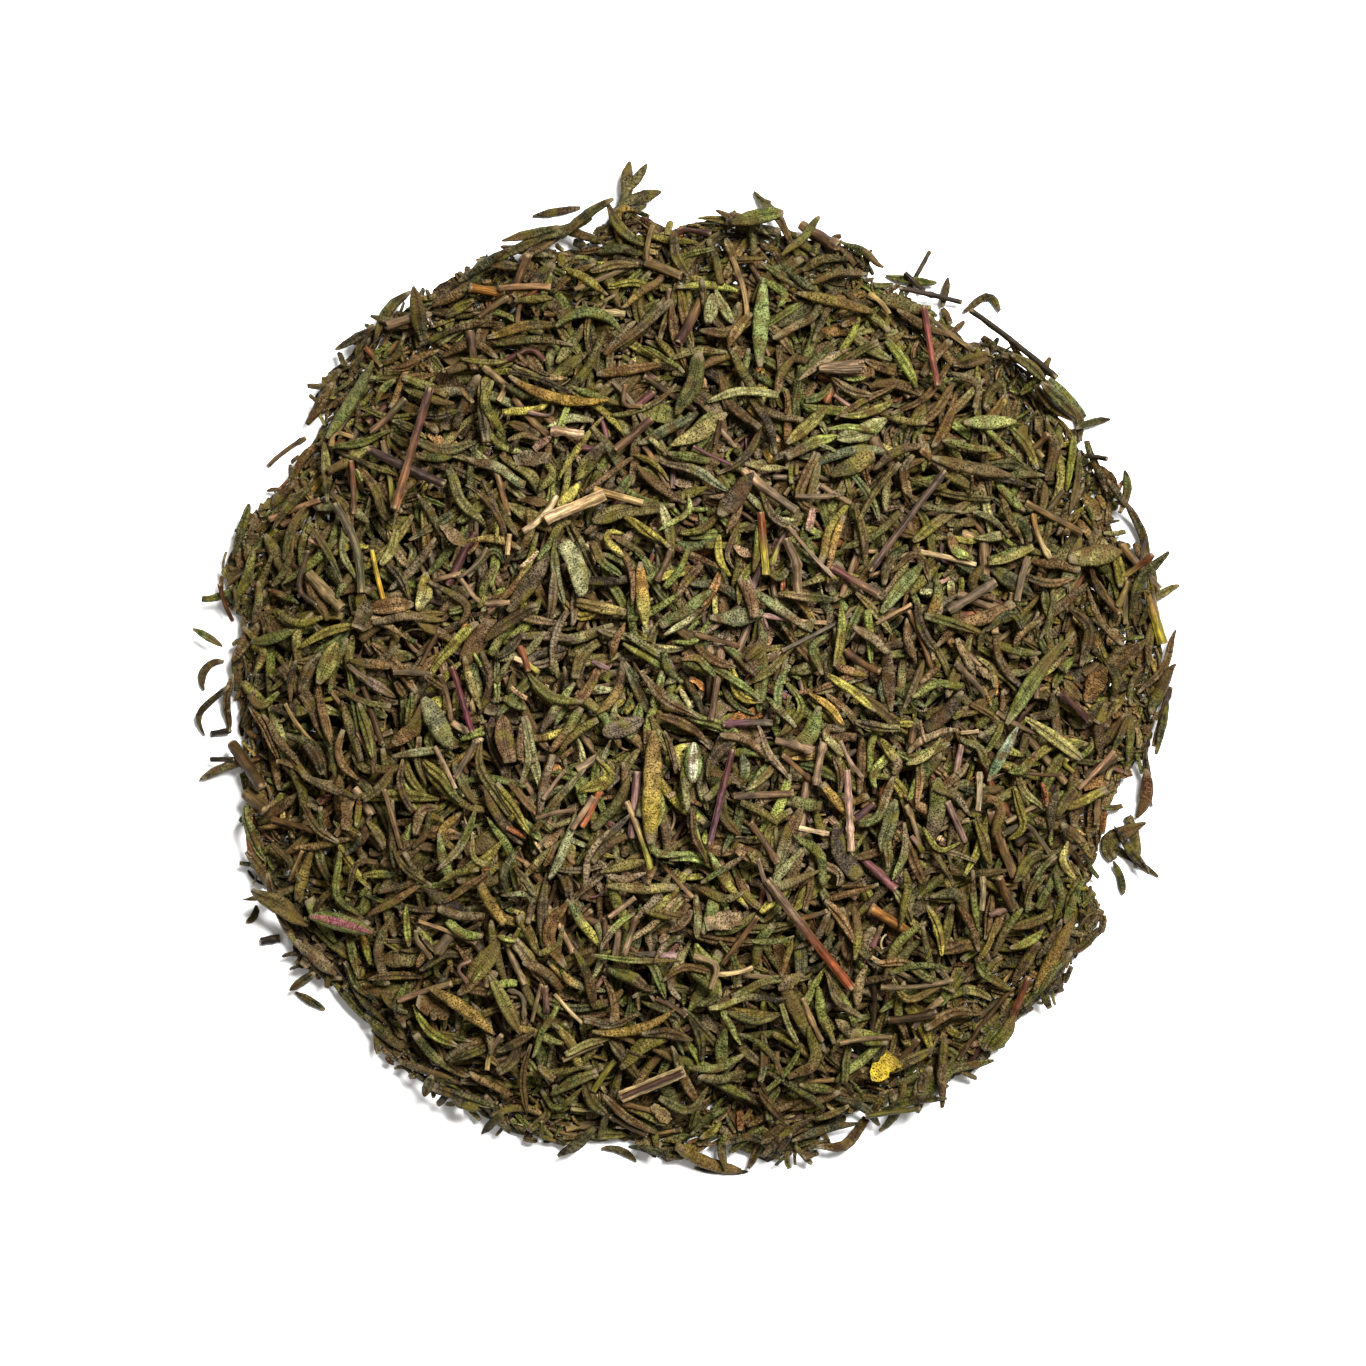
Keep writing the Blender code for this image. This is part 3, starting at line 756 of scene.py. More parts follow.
def stem_section(sides):
    """Nearly round, with the four soft corners of a thyme stem."""
    angle = np.linspace(0, 2 * math.pi, sides, endpoint=False)
    radius = 1 + 0.09 * np.cos(4 * angle)
    # The third value is painted shade, in the seams between the corners.
    return np.stack((radius * np.cos(angle), radius * np.sin(angle), 0.35 - 0.35 * np.cos(4 * angle)), 1)


def flake_section(sides):
    """Thin, and cupped a little."""
    angle = np.linspace(0, 2 * math.pi, sides, endpoint=False)
    across = np.cos(angle)
    return np.stack((across, 0.6 * np.sin(angle) + 1.1 * across**2 - 0.4, 0 * across), 1)


@dataclass
class Detail:
    """How finely a strand is made."""

    rings: int
    sides: int
    roughness: float  # how uneven it is from point to point


TINT_BLEND = 0.35  # share of the length over which one colour turns into the other
PATTERN_SHIFT = 90.0  # how far apart two pieces' patterns may be taken from the noise
LEAF_WAVINESS = 0.04  # how uneven widths are, as shares of them
FLAKE_WAVINESS = 0.14
THICKNESS_WAVINESS = 0.03
THIN_END = 0.4  # a leaf's thickness where its width is nothing, as a share of its thickest
NODE_SWELLING = 0.4  # how much wider a stem is at its nodes
NODE_LENGTH = 0.3
BORE = 0.6  # a bore's width, as a share of its stem's
BORE_DEPTH = 0.9
FINE = Detail(34, 24, 0.03)
NORMAL = Detail(12, 12, 0.05)
COARSE = Detail(6, 6, 0.05)
BUD_DETAIL = Detail(20, 18, 0.03)
CALYX_DETAIL = Detail(20, 8, 0.03)


@dataclass
class Strand:
    points: np.ndarray  # (rings, sides, 3)
    place: np.ndarray  # (rings, sides, 3): along, across and up in the strand's own frame
    look: np.ndarray  # (rings, sides, 3): share of the length, groove, luck
    tint: np.ndarray  # (rings, sides, 3)


def directions(line, roll):
    """Side and up at each point of a line, rolled about it by these angles (radians)."""
    ahead = np.gradient(line, axis=0)
    ahead /= np.maximum(np.linalg.norm(ahead, axis=1, keepdims=True), 1e-9)
    up = np.array((0.0, 0.0, 1.0)) - ahead * ahead[:, 2:]
    up /= np.maximum(np.linalg.norm(up, axis=1, keepdims=True), 1e-9)
    side = np.cross(up, ahead)
    cos, sin = np.cos(roll)[:, None], np.sin(roll)[:, None]
    return side * cos + up * sin, up * cos - side * sin


def section_for(bit, detail):
    if bit.kind == "stem":
        return stem_section(detail.sides)
    if bit.kind == "flake":
        return flake_section(detail.sides)
    return PLAIN_SECTION if detail is COARSE else LEAF_SECTION


def waviness(shares, size, luck):
    """Gentle unevenness along a strand, around 1."""
    phase = 40 * luck
    return 1 + size * (np.sin(9 * shares + phase) + 0.6 * np.sin(23 * shares + 2 * phase))


def ring_sizes(bit, shares):
    """Half width and half thickness at each share of the length."""
    if bit.kind != "stem":
        size = outline(bit, shares)
        ragged = FLAKE_WAVINESS if bit.kind == "flake" else LEAF_WAVINESS
        half_width = bit.width / 2 * size * waviness(shares, ragged, bit.luck)
        fullness = THIN_END + (1 - THIN_END) * size
        half_thickness = bit.thickness / 2 * fullness * waviness(shares, THICKNESS_WAVINESS, bit.luck + 0.3)
        return half_width, half_thickness
    swelling = 0 * shares
    for node in bit.nodes:
        swelling = swelling + NODE_SWELLING * np.exp(-(((shares - node) * bit.length / NODE_LENGTH) ** 2))
    half = bit.width / 2 * (1 + swelling) * waviness(shares, LEAF_WAVINESS, bit.luck)
    return half, half


def ring_shares(count):
    """Shares of the length, closer together near the ends."""
    even = np.linspace(0, 1, count)
    return 0.5 * even + 0.5 * (0.5 - 0.5 * np.cos(math.pi * even))


def with_bores(shares, half_width, half_thickness, length):
    """The rings of a hollow stem: its bores' floors and mouths come before and after its outside."""
    depth = min(BORE_DEPTH, length / 4) / length
    before = np.array((depth, 0.0, 0.0))
    after = np.array((1.0, 1.0, 1 - depth))
    shares = np.concatenate((before, shares, after))
    narrow_before = np.array((BORE * 0.8, BORE, 0.93))
    narrow_after = narrow_before[::-1]

    def widened(half):
        return np.concatenate((half[0] * narrow_before, half, half[-1] * narrow_after))

    # Painted shade on the bores' floors and mouths.
    dark = np.zeros(len(shares))
    dark[[0, -1]] = 1
    dark[[1, -2]] = 0.5
    return shares, widened(half_width), widened(half_thickness), dark


def tints_along(bit, shares):
    """The bit's colour at each share of its length."""
    turned = np.clip((shares - 0.5) / TINT_BLEND + 0.5, 0, 1)[:, None]
    return np.array(bit.tint) * (1 - turned) + np.array(bit.tip_tint or bit.tint) * turned


def make_strand(bit, line, detail):
    """The bit as rings of points along the line."""
    section = section_for(bit, detail)
    shares = ring_shares(detail.rings)
    half_width, half_thickness = ring_sizes(bit, shares)
    dark = np.zeros(len(shares))
    if bit.hollow and detail is not COARSE:
        shares, half_width, half_thickness, dark = with_bores(shares, half_width, half_thickness, bit.length)
    given = np.linspace(0, 1, len(line))
    roll = np.radians(bit.roll + bit.twist * (given - 0.5))
    rows = (line, *directions(line, roll))
    centre, side, up = (interpolated(shares, given, values) for values in rows)
    bumpy = 1 + RANDOM.normal(0, detail.roughness, (len(shares), len(section)))
    across = half_width[:, None] * section[:, 0] * bumpy
    above = half_thickness[:, None] * section[:, 1] * bumpy
    points = centre[:, None] + side[:, None] * across[..., None] + up[:, None] * above[..., None]
    points[..., 2] = np.maximum(points[..., 2], LEAST_HEIGHT)
    along = np.broadcast_to((shares * bit.length + PATTERN_SHIFT * bit.luck)[:, None], across.shape)
    # Where the materials paint shade: grooves, seams, bores, and a leaf's edges.
    groove = np.maximum(np.broadcast_to(section[:, 2], across.shape), dark[:, None])
    share = np.broadcast_to(shares[:, None], across.shape)
    luck = np.full(across.shape, bit.luck)
    return Strand(
        points,
        np.stack((along, across, above), 2),
        np.stack((share, groove, luck), 2),
        np.broadcast_to(tints_along(bit, shares)[:, None], points.shape),
    )


# ---- meshes of many strands ----

MAP_MARGIN = 0.06  # gap round each strand on the bake's map, as a share of its rectangle
COLUMNS_PER_ROW = 5 / 3  # of those rectangles


def strand_faces(rings, sides):
    """The corners of a strand's faces, four or three each: vertex numbers, and places on its unrolled side.

    The strand has its rings' points first, then the points that close its foot and its tip.
    """
    foot, tip = rings * sides, rings * sides + 1
    corners, unrolled, starts = [], [], []

    def add(*face):
        starts.append(len(corners))
        for vertex, around, along in face:
            corners.append(vertex)
            unrolled.append((around / sides, (along + 1) / (rings + 1)))

    for j in range(sides):
        k = (j + 1) % sides
        add((foot, j + 0.5, -1), (j, j, 0), (k, j + 1, 0))
        for i in range(rings - 1):
            low, high = i * sides, (i + 1) * sides
            add((low + j, j, i), (high + j, j, i + 1), (high + k, j + 1, i + 1), (low + k, j + 1, i))
        last = (rings - 1) * sides
        add((tip, j + 0.5, rings), (last + k, j + 1, rings - 1), (last + j, j, rings - 1))
    return np.array(corners), np.array(unrolled), np.array(starts)


def closed_ends(values):
    """Ring values (strands, rings, sides, 3) as vertex values, with the middles of both ends added."""
    count = len(values)
    ends = values[:, [0, -1]].mean(2)
    return np.concatenate((values.reshape(count, -1, 3), ends), 1)


def unrolled_places(strand_count, first, count):
    """The lower corner and the size of each strand's rectangle on the map that a bake uses."""
    columns = math.ceil(math.sqrt(strand_count * COLUMNS_PER_ROW))
    rows = math.ceil(strand_count / columns)
    number = np.arange(first, first + count)
    corner = np.stack((number % columns, number // columns), 1) / (columns, rows)
    return corner, np.array((1 / columns, 1 / rows))


def mesh_of(name, strands):
    """One mesh of all the strands, with what the materials read at each point, and a map for a bake."""
    by_form = {}
    for strand in strands:
        by_form.setdefault(strand.points.shape[:2], []).append(strand)
    values = {field: [] for field in ("points", "place", "look", "tint")}
    loops, loop_starts, flat_map = [], [], []
    vertex_count = loop_count = done = 0
    for (rings, sides), group in by_form.items():
        count = len(group)
        corners, unrolled, starts = strand_faces(rings, sides)
        size = rings * sides + 2
        for field, parts in values.items():
            parts.append(closed_ends(np.stack([getattr(strand, field) for strand in group])))
        numbers = np.arange(count)[:, None]
        loops.append((corners + vertex_count + numbers * size).ravel())
        loop_starts.append((starts + loop_count + numbers * len(corners)).ravel())
        corner, cell = unrolled_places(len(strands), done, count)
        inset = MAP_MARGIN + (1 - 2 * MAP_MARGIN) * unrolled
        flat_map.append((corner[:, None] + inset * cell).reshape(-1, 2))
        vertex_count += count * size
        loop_count += count * len(corners)
        done += count

    def joined(field):
        return np.concatenate([part.reshape(-1, 3) for part in values[field]])

    mesh = bpy.data.meshes.new(name)
    mesh.vertices.add(vertex_count)
    mesh.vertices.foreach_set("co", (joined("points") * MM).ravel())
    mesh.loops.add(loop_count)
    mesh.loops.foreach_set("vertex_index", np.concatenate(loops))
    face_starts = np.concatenate(loop_starts)
    mesh.polygons.add(len(face_starts))
    mesh.polygons.foreach_set("loop_start", face_starts)
    mesh.update(calc_edges=True)
    mesh.shade_smooth()
    for field in ("place", "look", "tint"):
        data = mesh.attributes.new(field, "FLOAT_VECTOR", "POINT").data
        data.foreach_set("vector", joined(field).ravel())
    layer = mesh.uv_layers.new(name="OFBake")
    layer.uv.foreach_set("vector", np.concatenate(flat_map).astype(np.float32).ravel())
    return mesh


def make_piece(name, strands, material, slot, *nodes):
    """An object of these strands that stands for these CAD nodes."""
    mesh = mesh_of(name, strands)
    mesh.materials.append(material)
    piece = bpy.data.objects.new(name, mesh)
    bpy.context.scene.collection.objects.link(piece)
    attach(piece, "root")
    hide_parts(*nodes)


def make_look(name, strands, material):
    """The piece that stands for the CAD node of this name."""
    make_piece(f"{name}_look", strands, material, SLOT_OF[name], name)


# ---- materials ----

SOAK = 0.190  # dry leaves are this much darker than the colours above, which are theirs in strong light
STEM_SOAK = 0.35
LEAF_CONTRAST = 1.35  # above 1, light and dark places differ more
LEAF_RELIEF = 0.2  # how deep the surface's bumps look
STEM_RELIEF = 0.1
LEAF_GLOSS = 0.1
STEM_GLOSS = 0.12
# The pale of dust and of a painted highlight, over a leaf's brightest places.
LEAF_DUST_AND_HIGHLIGHT = (0.46, 0.39, 0.22, 1)
AGED_LEAF = (0.23, 0.098, 0.018, 1)
TURNED_LEAF = (0.30, 0.17, 0.05, 1)
YELLOWED_LEAF = (0.41, 0.33, 0.030, 1)
LEAF_DOWN = (0.50, 0.40, 0.15, 1)
LEAF_FOOT = (0.62, 0.47, 0.25, 1)
LEAF_TIP = (0.24, 0.15, 0.06, 1)
BARK = (0.20, 0.11, 0.06, 1)
TORN_STEM = (0.62, 0.44, 0.22, 1)
TABLE_WHITE = ((0.91, 0.91, 0.91, 1), (0.94, 0.94, 0.94, 1))


class Graph:
    """Short words for the nodes that the materials below are made of."""

    def __init__(self, name):
        self.material = bpy.data.materials.new(name)
        self.material.use_nodes = True
        self.tree = self.material.node_tree
        self.shader = self.tree.nodes["Principled BSDF"]

    def node(self, kind, settings=None, **inputs):
        node = self.tree.nodes.new("ShaderNode" + kind)
        for key, value in (settings or {}).items():
            setattr(node, key, value)
        for key, value in inputs.items():
            self.put(node.inputs[key.replace("_", " ")], value)
        return node

    def put(self, socket, value):
        if isinstance(value, bpy.types.NodeSocket):
            self.tree.links.new(value, socket)
        else:
            socket.default_value = value

    def attribute(self, name, output="Vector"):
        return self.node("Attribute", {"attribute_name": name}).outputs[output]

    def parts(self, vector):
        return self.node("SeparateXYZ", Vector=vector).outputs

    def stretched(self, vector, *scale):
        node = self.node("VectorMath", {"operation": "MULTIPLY"})
        self.put(node.inputs[0], vector)
        self.put(node.inputs[1], scale)
        return node.outputs[0]

    def noise(self, vector, scale, detail=2.0, roughness=0.5):
        inputs = {"Vector": vector, "Scale": scale, "Detail": detail, "Roughness": roughness}
        return self.node("TexNoise", **inputs).outputs["Fac"]

    def pits(self, vector, scale):
        return self.node("TexVoronoi", Vector=vector, Scale=scale).outputs["Distance"]

    def math(self, operation, first, second=0.0):
        node = self.node("Math", {"operation": operation})
        self.put(node.inputs[0], first)
        self.put(node.inputs[1], second)
        return node.outputs[0]

    def times(self, first, second):
        return self.math("MULTIPLY", first, second)

    def plus(self, first, second):
        return self.math("ADD", first, second)

    def remap(self, value, low, high, to_low, to_high):
        inputs = {"Value": value, "From_Min": low, "From_Max": high, "To_Min": to_low, "To_Max": to_high}
        return self.node("MapRange", {"interpolation_type": "SMOOTHSTEP"}, **inputs).outputs[0]

    def mix(self, share, first, second, blend="MIX"):
        node = self.node("Mix", {"data_type": "RGBA", "blend_type": blend})
        self.put(node.inputs[0], share)
        self.put(node.inputs[6], first)
        self.put(node.inputs[7], second)
        return node.outputs[2]

    def lit(self, colour, amount):
        """The colour made lighter or darker by this factor."""
        node = self.node("VectorMath", {"operation": "SCALE"})
        self.put(node.inputs[0], colour)
        self.put(node.inputs["Scale"], amount)
        return node.outputs[0]

    def finish(self, colour, roughness, height, depth):
        """Joins colour, roughness and a bump of this depth (mm) to the shader."""
        self.put(self.shader.inputs["Base Color"], colour)
        self.put(self.shader.inputs["Roughness"], roughness)
        bump = self.node("Bump", Height=height, Distance=depth * MM, Strength=1.0)
        self.put(self.shader.inputs["Normal"], bump.outputs[0])
        return self.material


def leaf_surface(name):
    """Dried leaf: blotched, with gland pits, cross wrinkles and pale ends; painted shade in its grooves and
    along its sides, painted highlights on its crests, and pale dust partly painted as highlight.
    """
    g = Graph(name)
    place = g.attribute("place")
    share, groove, luck = g.parts(g.attribute("look"))
    up = g.parts(place)[2]
    underside = g.remap(up, -0.12, 0.05, 1.0, 0.0)
    blotch = g.noise(place, 0.9, 3.0)
    mottle = g.noise(place, 4.2, 2.0, 0.6)
    wrinkle = g.noise(g.stretched(place, 6.5, 1.6, 1.6), 1.0, 1.0)
    grain = g.noise(place, 9.0, 2.0, 0.7)
    pit = g.remap(g.pits(place, 4.6), 0.16, 0.46, 1.0, 0.0)

    # How light the leaf is at each point, with its painted shade and painted highlights.
    light = g.remap(blotch, 0.3, 0.7, 0.6, 1.45)
    for pattern, *limits in (
        (mottle, 0.36, 0.64, 0.72, 1.25),
        (wrinkle, 0.35, 0.65, 0.78, 1.22),
        (grain, 0.3, 0.7, 0.75, 1.3),
    ):
        light = g.times(light, g.remap(pattern, *limits))
    shallow = g.times(pit, g.remap(underside, 0.0, 1.0, 1.0, 0.7))
    light = g.times(light, g.remap(shallow, 0.0, 1.0, 1.3, 0.35))
    # Painted shade in the grooves.
    light = g.times(light, g.remap(groove, 0.2, 1.0, 1.0, 0.3))
    # Painted shade along the sides, darkest at the edges, and a painted highlight on the crest; leaves with
    # high luck get a stronger painted highlight.
    edge = g.times(g.remap(groove, -1.0, 0.0, 0.3, 1.3), g.remap(luck, 0.7, 0.85, 1.0, 1.6))
    light = g.times(light, edge)
    light = g.math("POWER", light, LEAF_CONTRAST)

    # Its own colour, and what lies over it in places.
    colour = g.lit(g.attribute("tint"), light)
    # Pale dust, partly a painted highlight, mixed into the brightest places.
    colour = g.mix(g.remap(light, 1.5, 4.0, 0.0, 0.4), colour, LEAF_DUST_AND_HIGHLIGHT)
    aged = g.times(g.remap(g.noise(place, 0.4, 2.0), 0.46, 0.64, 0.0, 0.85), luck)
    colour = g.mix(aged, colour, AGED_LEAF)
    turned = g.remap(g.plus(share, g.times(blotch, 0.6)), 0.65, 1.1, 0.0, 1.0)
    turned = g.times(turned, g.remap(g.math("ABSOLUTE", g.plus(luck, -0.4)), 0.02, 0.2, 0.8, 0.0))
    colour = g.mix(turned, colour, TURNED_LEAF)
    yellowed = g.times(g.remap(g.noise(place, 0.5, 1.0), 0.52, 0.66, 0.0, 0.6), g.math("SUBTRACT", 1.0, luck))
    colour = g.mix(yellowed, colour, YELLOWED_LEAF)
    downy = g.times(g.remap(grain, 0.56, 0.7, 0.0, 0.3), g.remap(underside, 0.0, 1.0, 0.4, 1.0))
    colour = g.mix(downy, colour, LEAF_DOWN)
    pale = g.times(g.remap(share, 0.03, 0.15, 0.95, 0.0), g.remap(luck, 0.2, 0.6, 0.3, 1.0))
    colour = g.mix(pale, colour, LEAF_FOOT)
    tipped = g.times(g.remap(share, 0.9, 1.0, 0.0, 0.7), g.remap(luck, 0.5, 0.9, 1.0, 0.0))
    colour = g.lit(g.mix(tipped, colour, LEAF_TIP), SOAK)

    height = g.times(wrinkle, 0.6)
    for pattern, amount in ((grain, 0.35), (mottle, 0.5), (pit, -0.35)):
        height = g.plus(height, g.times(pattern, amount))
    roughness = g.remap(blotch, 0.3, 0.7, 0.42, 0.62)
    g.shader.inputs["Specular IOR Level"].default_value = LEAF_GLOSS
    return g.finish(colour, roughness, height, LEAF_RELIEF)


def stem_surface(name):
    """Dry stem: long streaks and pale torn ends, with painted shade in the seams along its corners and in its
    bores.
    """
    g = Graph(name)
    place = g.attribute("place")
    share, groove, luck = g.parts(g.attribute("look"))
    streak = g.noise(g.stretched(place, 0.55, 6.5, 6.5), 1.0, 3.0, 0.6)
    patch = g.noise(g.stretched(place, 0.6, 1.2, 1.2), 1.0, 2.0)
    grain = g.noise(place, 8.0, 2.0, 0.65)
    light = g.times(g.remap(streak, 0.3, 0.7, 0.5, 1.55), g.remap(patch, 0.3, 0.7, 0.55, 1.35))
    light = g.times(light, g.remap(grain, 0.3, 0.7, 0.85, 1.15))
    # Painted shade in the seams and bores.
    light = g.times(light, g.remap(groove, 0.3, 1.0, 1.0, 0.25))
    colour = g.lit(g.attribute("tint"), light)
    bark = g.remap(g.noise(g.stretched(place, 0.8, 2.0, 2.0), 1.0, 2.0), 0.54, 0.66, 0.0, 0.7)
    colour = g.mix(g.times(bark, luck), colour, BARK)
    ends = g.plus(g.remap(share, 0.0, 0.05, 1.0, 0.0), g.remap(share, 0.95, 1.0, 0.0, 1.0))
    ends = g.times(ends, g.remap(groove, 0.3, 0.6, 0.7, 0.0))
    colour = g.lit(g.mix(ends, colour, TORN_STEM), STEM_SOAK)
    height = g.plus(streak, g.times(grain, 0.3))
    roughness = g.remap(patch, 0.3, 0.7, 0.45, 0.65)
    g.shader.inputs["Specular IOR Level"].default_value = STEM_GLOSS
    return g.finish(colour, roughness, height, STEM_RELIEF)


def floor_surface():
    """A plain white table, very faintly mottled."""
    g = Graph("table")
    place = g.node("TexCoord").outputs["Object"]
    mottle = g.noise(place, 25.0, 2.0)
    colour = g.mix(mottle, *TABLE_WHITE)
    return g.finish(colour, 0.8, g.noise(place, 900.0, 2.0), 0.01)


# ---- the pieces that have a CAD node of their own ----

CENTRAL_SHARE = 0.5  # a piece is measured over this share of its length
NEARLY_ALL = 98  # percent of its points that its measured width holds


def node_points(name, count=3000):
    """Points spread evenly over the surface of a CAD node."""
    mesh = frame["nodes"][name].data
    mesh.calc_loop_triangles()
    corners = np.array([v.co for v in mesh.vertices]) / MM
    faces = np.array([t.vertices for t in mesh.loop_triangles])
    first, second, third = (corners[faces[:, i]] for i in range(3))
    area = np.linalg.norm(np.cross(second - first, third - first), axis=1)
    numbers = np.random.default_rng(5)
    chosen = numbers.choice(len(faces), count, p=area / area.sum())
    u, v = numbers.random((2, count, 1))
    over = u + v > 1
    u, v = np.where(over, 1 - u, u), np.where(over, 1 - v, v)
    return first[chosen] + u * (second - first)[chosen] + v * (third - first)[chosen]


def measure(name):
    """(line, width, thickness) of a long CAD piece. The line's heading is between -90 and 90 degrees."""
    points = node_points(name)
    middle = points.mean(0)
    along = np.linalg.svd(points - middle, full_matrices=False)[2][0]
    along = along if along[0] > 0 else -along
    up = np.array((0.0, 0.0, 1.0)) - along * along[2]
    up /= np.linalg.norm(up)
    side = np.cross(up, along)
    run, aside, above = ((points - middle) @ np.stack((along, side, up), 1)).T
    sideways = np.polynomial.Polynomial.fit(run, aside, 4)
    upward = np.polynomial.Polynomial.fit(run, above, 2)
    runs = np.linspace(run.min(), run.max(), 60)
    line = middle + runs[:, None] * along + sideways(runs)[:, None] * side + upward(runs)[:, None] * up
    central = np.abs(run) < CENTRAL_SHARE / 2 * np.ptp(run)
    width = 2 * np.percentile(np.abs(aside - sideways(run))[central], NEARLY_ALL)
    thickness = 2 * np.percentile(np.abs(above - upward(run))[central], NEARLY_ALL)
    return evenly(line), width, thickness


def evenly(line, count=41):
    """The line with its points the same distance apart."""
    steps = np.linalg.norm(np.diff(line, axis=0), axis=1)
    run = np.concatenate(((0,), np.cumsum(steps)))
    shares = np.linspace(0, run[-1], count)
    return interpolated(shares, run, line)


def length_of(line):
    return float(np.linalg.norm(np.diff(line, axis=0), axis=1).sum())


STEM_NODES = {  # a CAD stem's nodes, as shares of its length
    "straw_chip": (0.15,),
    "dark_rim_twig": (0.5,),
    "long_brown_twig": (0.08, 0.92),
    "purple_stem": (0.5,),
    "bent_tan_stem": (0.5,),
    "long_red_stem": (0.42,),
    "pink_noded_stem": (0.35, 0.72),
    "knotted_twig": (0.3, 0.62),
    "long_red_yellow_stem": (0.12,),
    "dark_brown_twig": (0.7,),
    "pink_rim_stem": (0.6,),
}
HOLLOW = {"straw_stem", "red_brown_hollow_stem", "long_red_stem", "pithy_stem"}
FACE_DOWN = {
    "large_green_leaf",
    "pale_backed_leaf",
    "pale_edged_leaf",
    "slanting_olive_leaf",
    "long_yellow_green_leaf",
    "plump_yellow_leaf",
    "pink_lined_leaf",
    "curved_yellow_green_leaf",
    "outer_left_leaf",
    "short_golden_leaf",
}
NAMED_TINTS = {  # colours at the left and right ends of pieces that differ from their material's
    "long_green_leaf": ((0.19, 0.24, 0.055), (0.27, 0.32, 0.090)),
    "golden_curved_leaf": ((0.30, 0.16, 0.025), (0.38, 0.22, 0.025)),
    "hooked_green_leaf": ((0.13, 0.16, 0.040), (0.17, 0.19, 0.045)),
    "ochre_leaf": ((0.24, 0.17, 0.030), (0.26, 0.15, 0.025)),
    "short_golden_leaf": ((0.26, 0.20, 0.035), (0.22, 0.19, 0.040)),
    "plump_green_leaf": ((0.19, 0.21, 0.055), (0.19, 0.19, 0.045)),
    "long_brown_leaf": ((0.23, 0.15, 0.055), (0.18, 0.13, 0.050)),
    "slanting_olive_leaf": ((0.21, 0.23, 0.070), (0.17, 0.19, 0.050)),
    "broad_olive_leaf": ((0.15, 0.12, 0.026), (0.17, 0.13, 0.026)),
    "large_green_leaf": ((0.22, 0.25, 0.060), (0.16, 0.21, 0.035)),
    "pale_backed_leaf": ((0.14, 0.20, 0.085), (0.40, 0.44, 0.280)),
    "blunt_grey_leaf": ((0.20, 0.19, 0.085), (0.26, 0.25, 0.110)),
    "plump_yellow_leaf": ((0.26, 0.24, 0.050), (0.33, 0.27, 0.060)),
    "pink_lined_leaf": ((0.24, 0.15, 0.110), (0.42, 0.30, 0.220)),
    "wide_olive_leaf": ((0.46, 0.32, 0.040), (0.40, 0.25, 0.070)),
    "pale_edged_leaf": ((0.20, 0.27, 0.075), (0.22, 0.28, 0.080)),
    "purple_leaf": ((0.15, 0.17, 0.040), (0.18, 0.20, 0.050)),
    "short_gold_leaf": ((0.34, 0.17, 0.025), (0.30, 0.25, 0.045)),
    "large_brown_leaf": ((0.14, 0.09, 0.038), (0.11, 0.07, 0.034)),
    "grey_brown_leaf": ((0.13, 0.14, 0.050), (0.17, 0.13, 0.065)),
    "curved_yellow_green_leaf": ((0.32, 0.26, 0.050), (0.28, 0.28, 0.050)),
    "curved_green_leaf": ((0.15, 0.17, 0.040), (0.12, 0.17, 0.042)),
    "straw_stem": ((0.86, 0.58, 0.300), (0.80, 0.52, 0.240)),
    "thin_straw_stem": ((0.74, 0.44, 0.150), (0.66, 0.42, 0.170)),
    "straw_chip": ((0.62, 0.38, 0.200), (0.78, 0.54, 0.300)),
    "red_stem": ((0.26, 0.070, 0.050), (0.30, 0.090, 0.050)),
    "red_brown_hollow_stem": ((0.19, 0.10, 0.045), (0.15, 0.07, 0.035)),
    "long_brown_twig": ((0.17, 0.10, 0.065), (0.13, 0.08, 0.055)),
    "red_purple_stem": ((0.15, 0.055, 0.040), (0.32, 0.17, 0.090)),
    "purple_stem": ((0.17, 0.08, 0.090), (0.17, 0.06, 0.055)),
    "left_purple_stem": ((0.22, 0.060, 0.055), (0.20, 0.050, 0.065)),
    "red_yellow_stem": ((0.36, 0.10, 0.020), (0.66, 0.52, 0.060)),
    "long_red_stem": ((0.23, 0.14, 0.080), (0.34, 0.085, 0.026)),
    "pink_noded_stem": ((0.56, 0.32, 0.230), (0.62, 0.40, 0.260)),
    "pithy_stem": ((0.66, 0.46, 0.200), (0.70, 0.50, 0.220)),
    "yellow_thread_stem": ((0.72, 0.50, 0.060), (0.66, 0.36, 0.030)),
    "knotted_twig": ((0.19, 0.14, 0.070), (0.16, 0.13, 0.055)),
    "long_red_yellow_stem": ((0.28, 0.12, 0.040), (0.13, 0.05, 0.030)),
    "dark_brown_twig": ((0.085, 0.048, 0.036), (0.070, 0.040, 0.030)),
    "outer_yellow_stem": ((0.42, 0.24, 0.060), (0.44, 0.34, 0.030)),
}
CORES = {  # a band of another colour along the middle: its colour, and its share of the width
    "purple_leaf": ((0.40, 0.110, 0.140), 0.55),
    "pale_edged_leaf": ((0.90, 0.82, 0.56), 0.58),
    "pithy_stem": ((0.12, 0.055, 0.03), 0.5),
}
CORE_LIFT = 0.14  # how far the band stands above its piece, as a share of the thickness
STEM_SLIMNESS = 0.8  # a stem looks this much thinner than its widest points
SPECIAL = ("folded_leaf", "green_bud", "dried_calyx", "yellow_flake", "top_sprig", "packed_leaves")


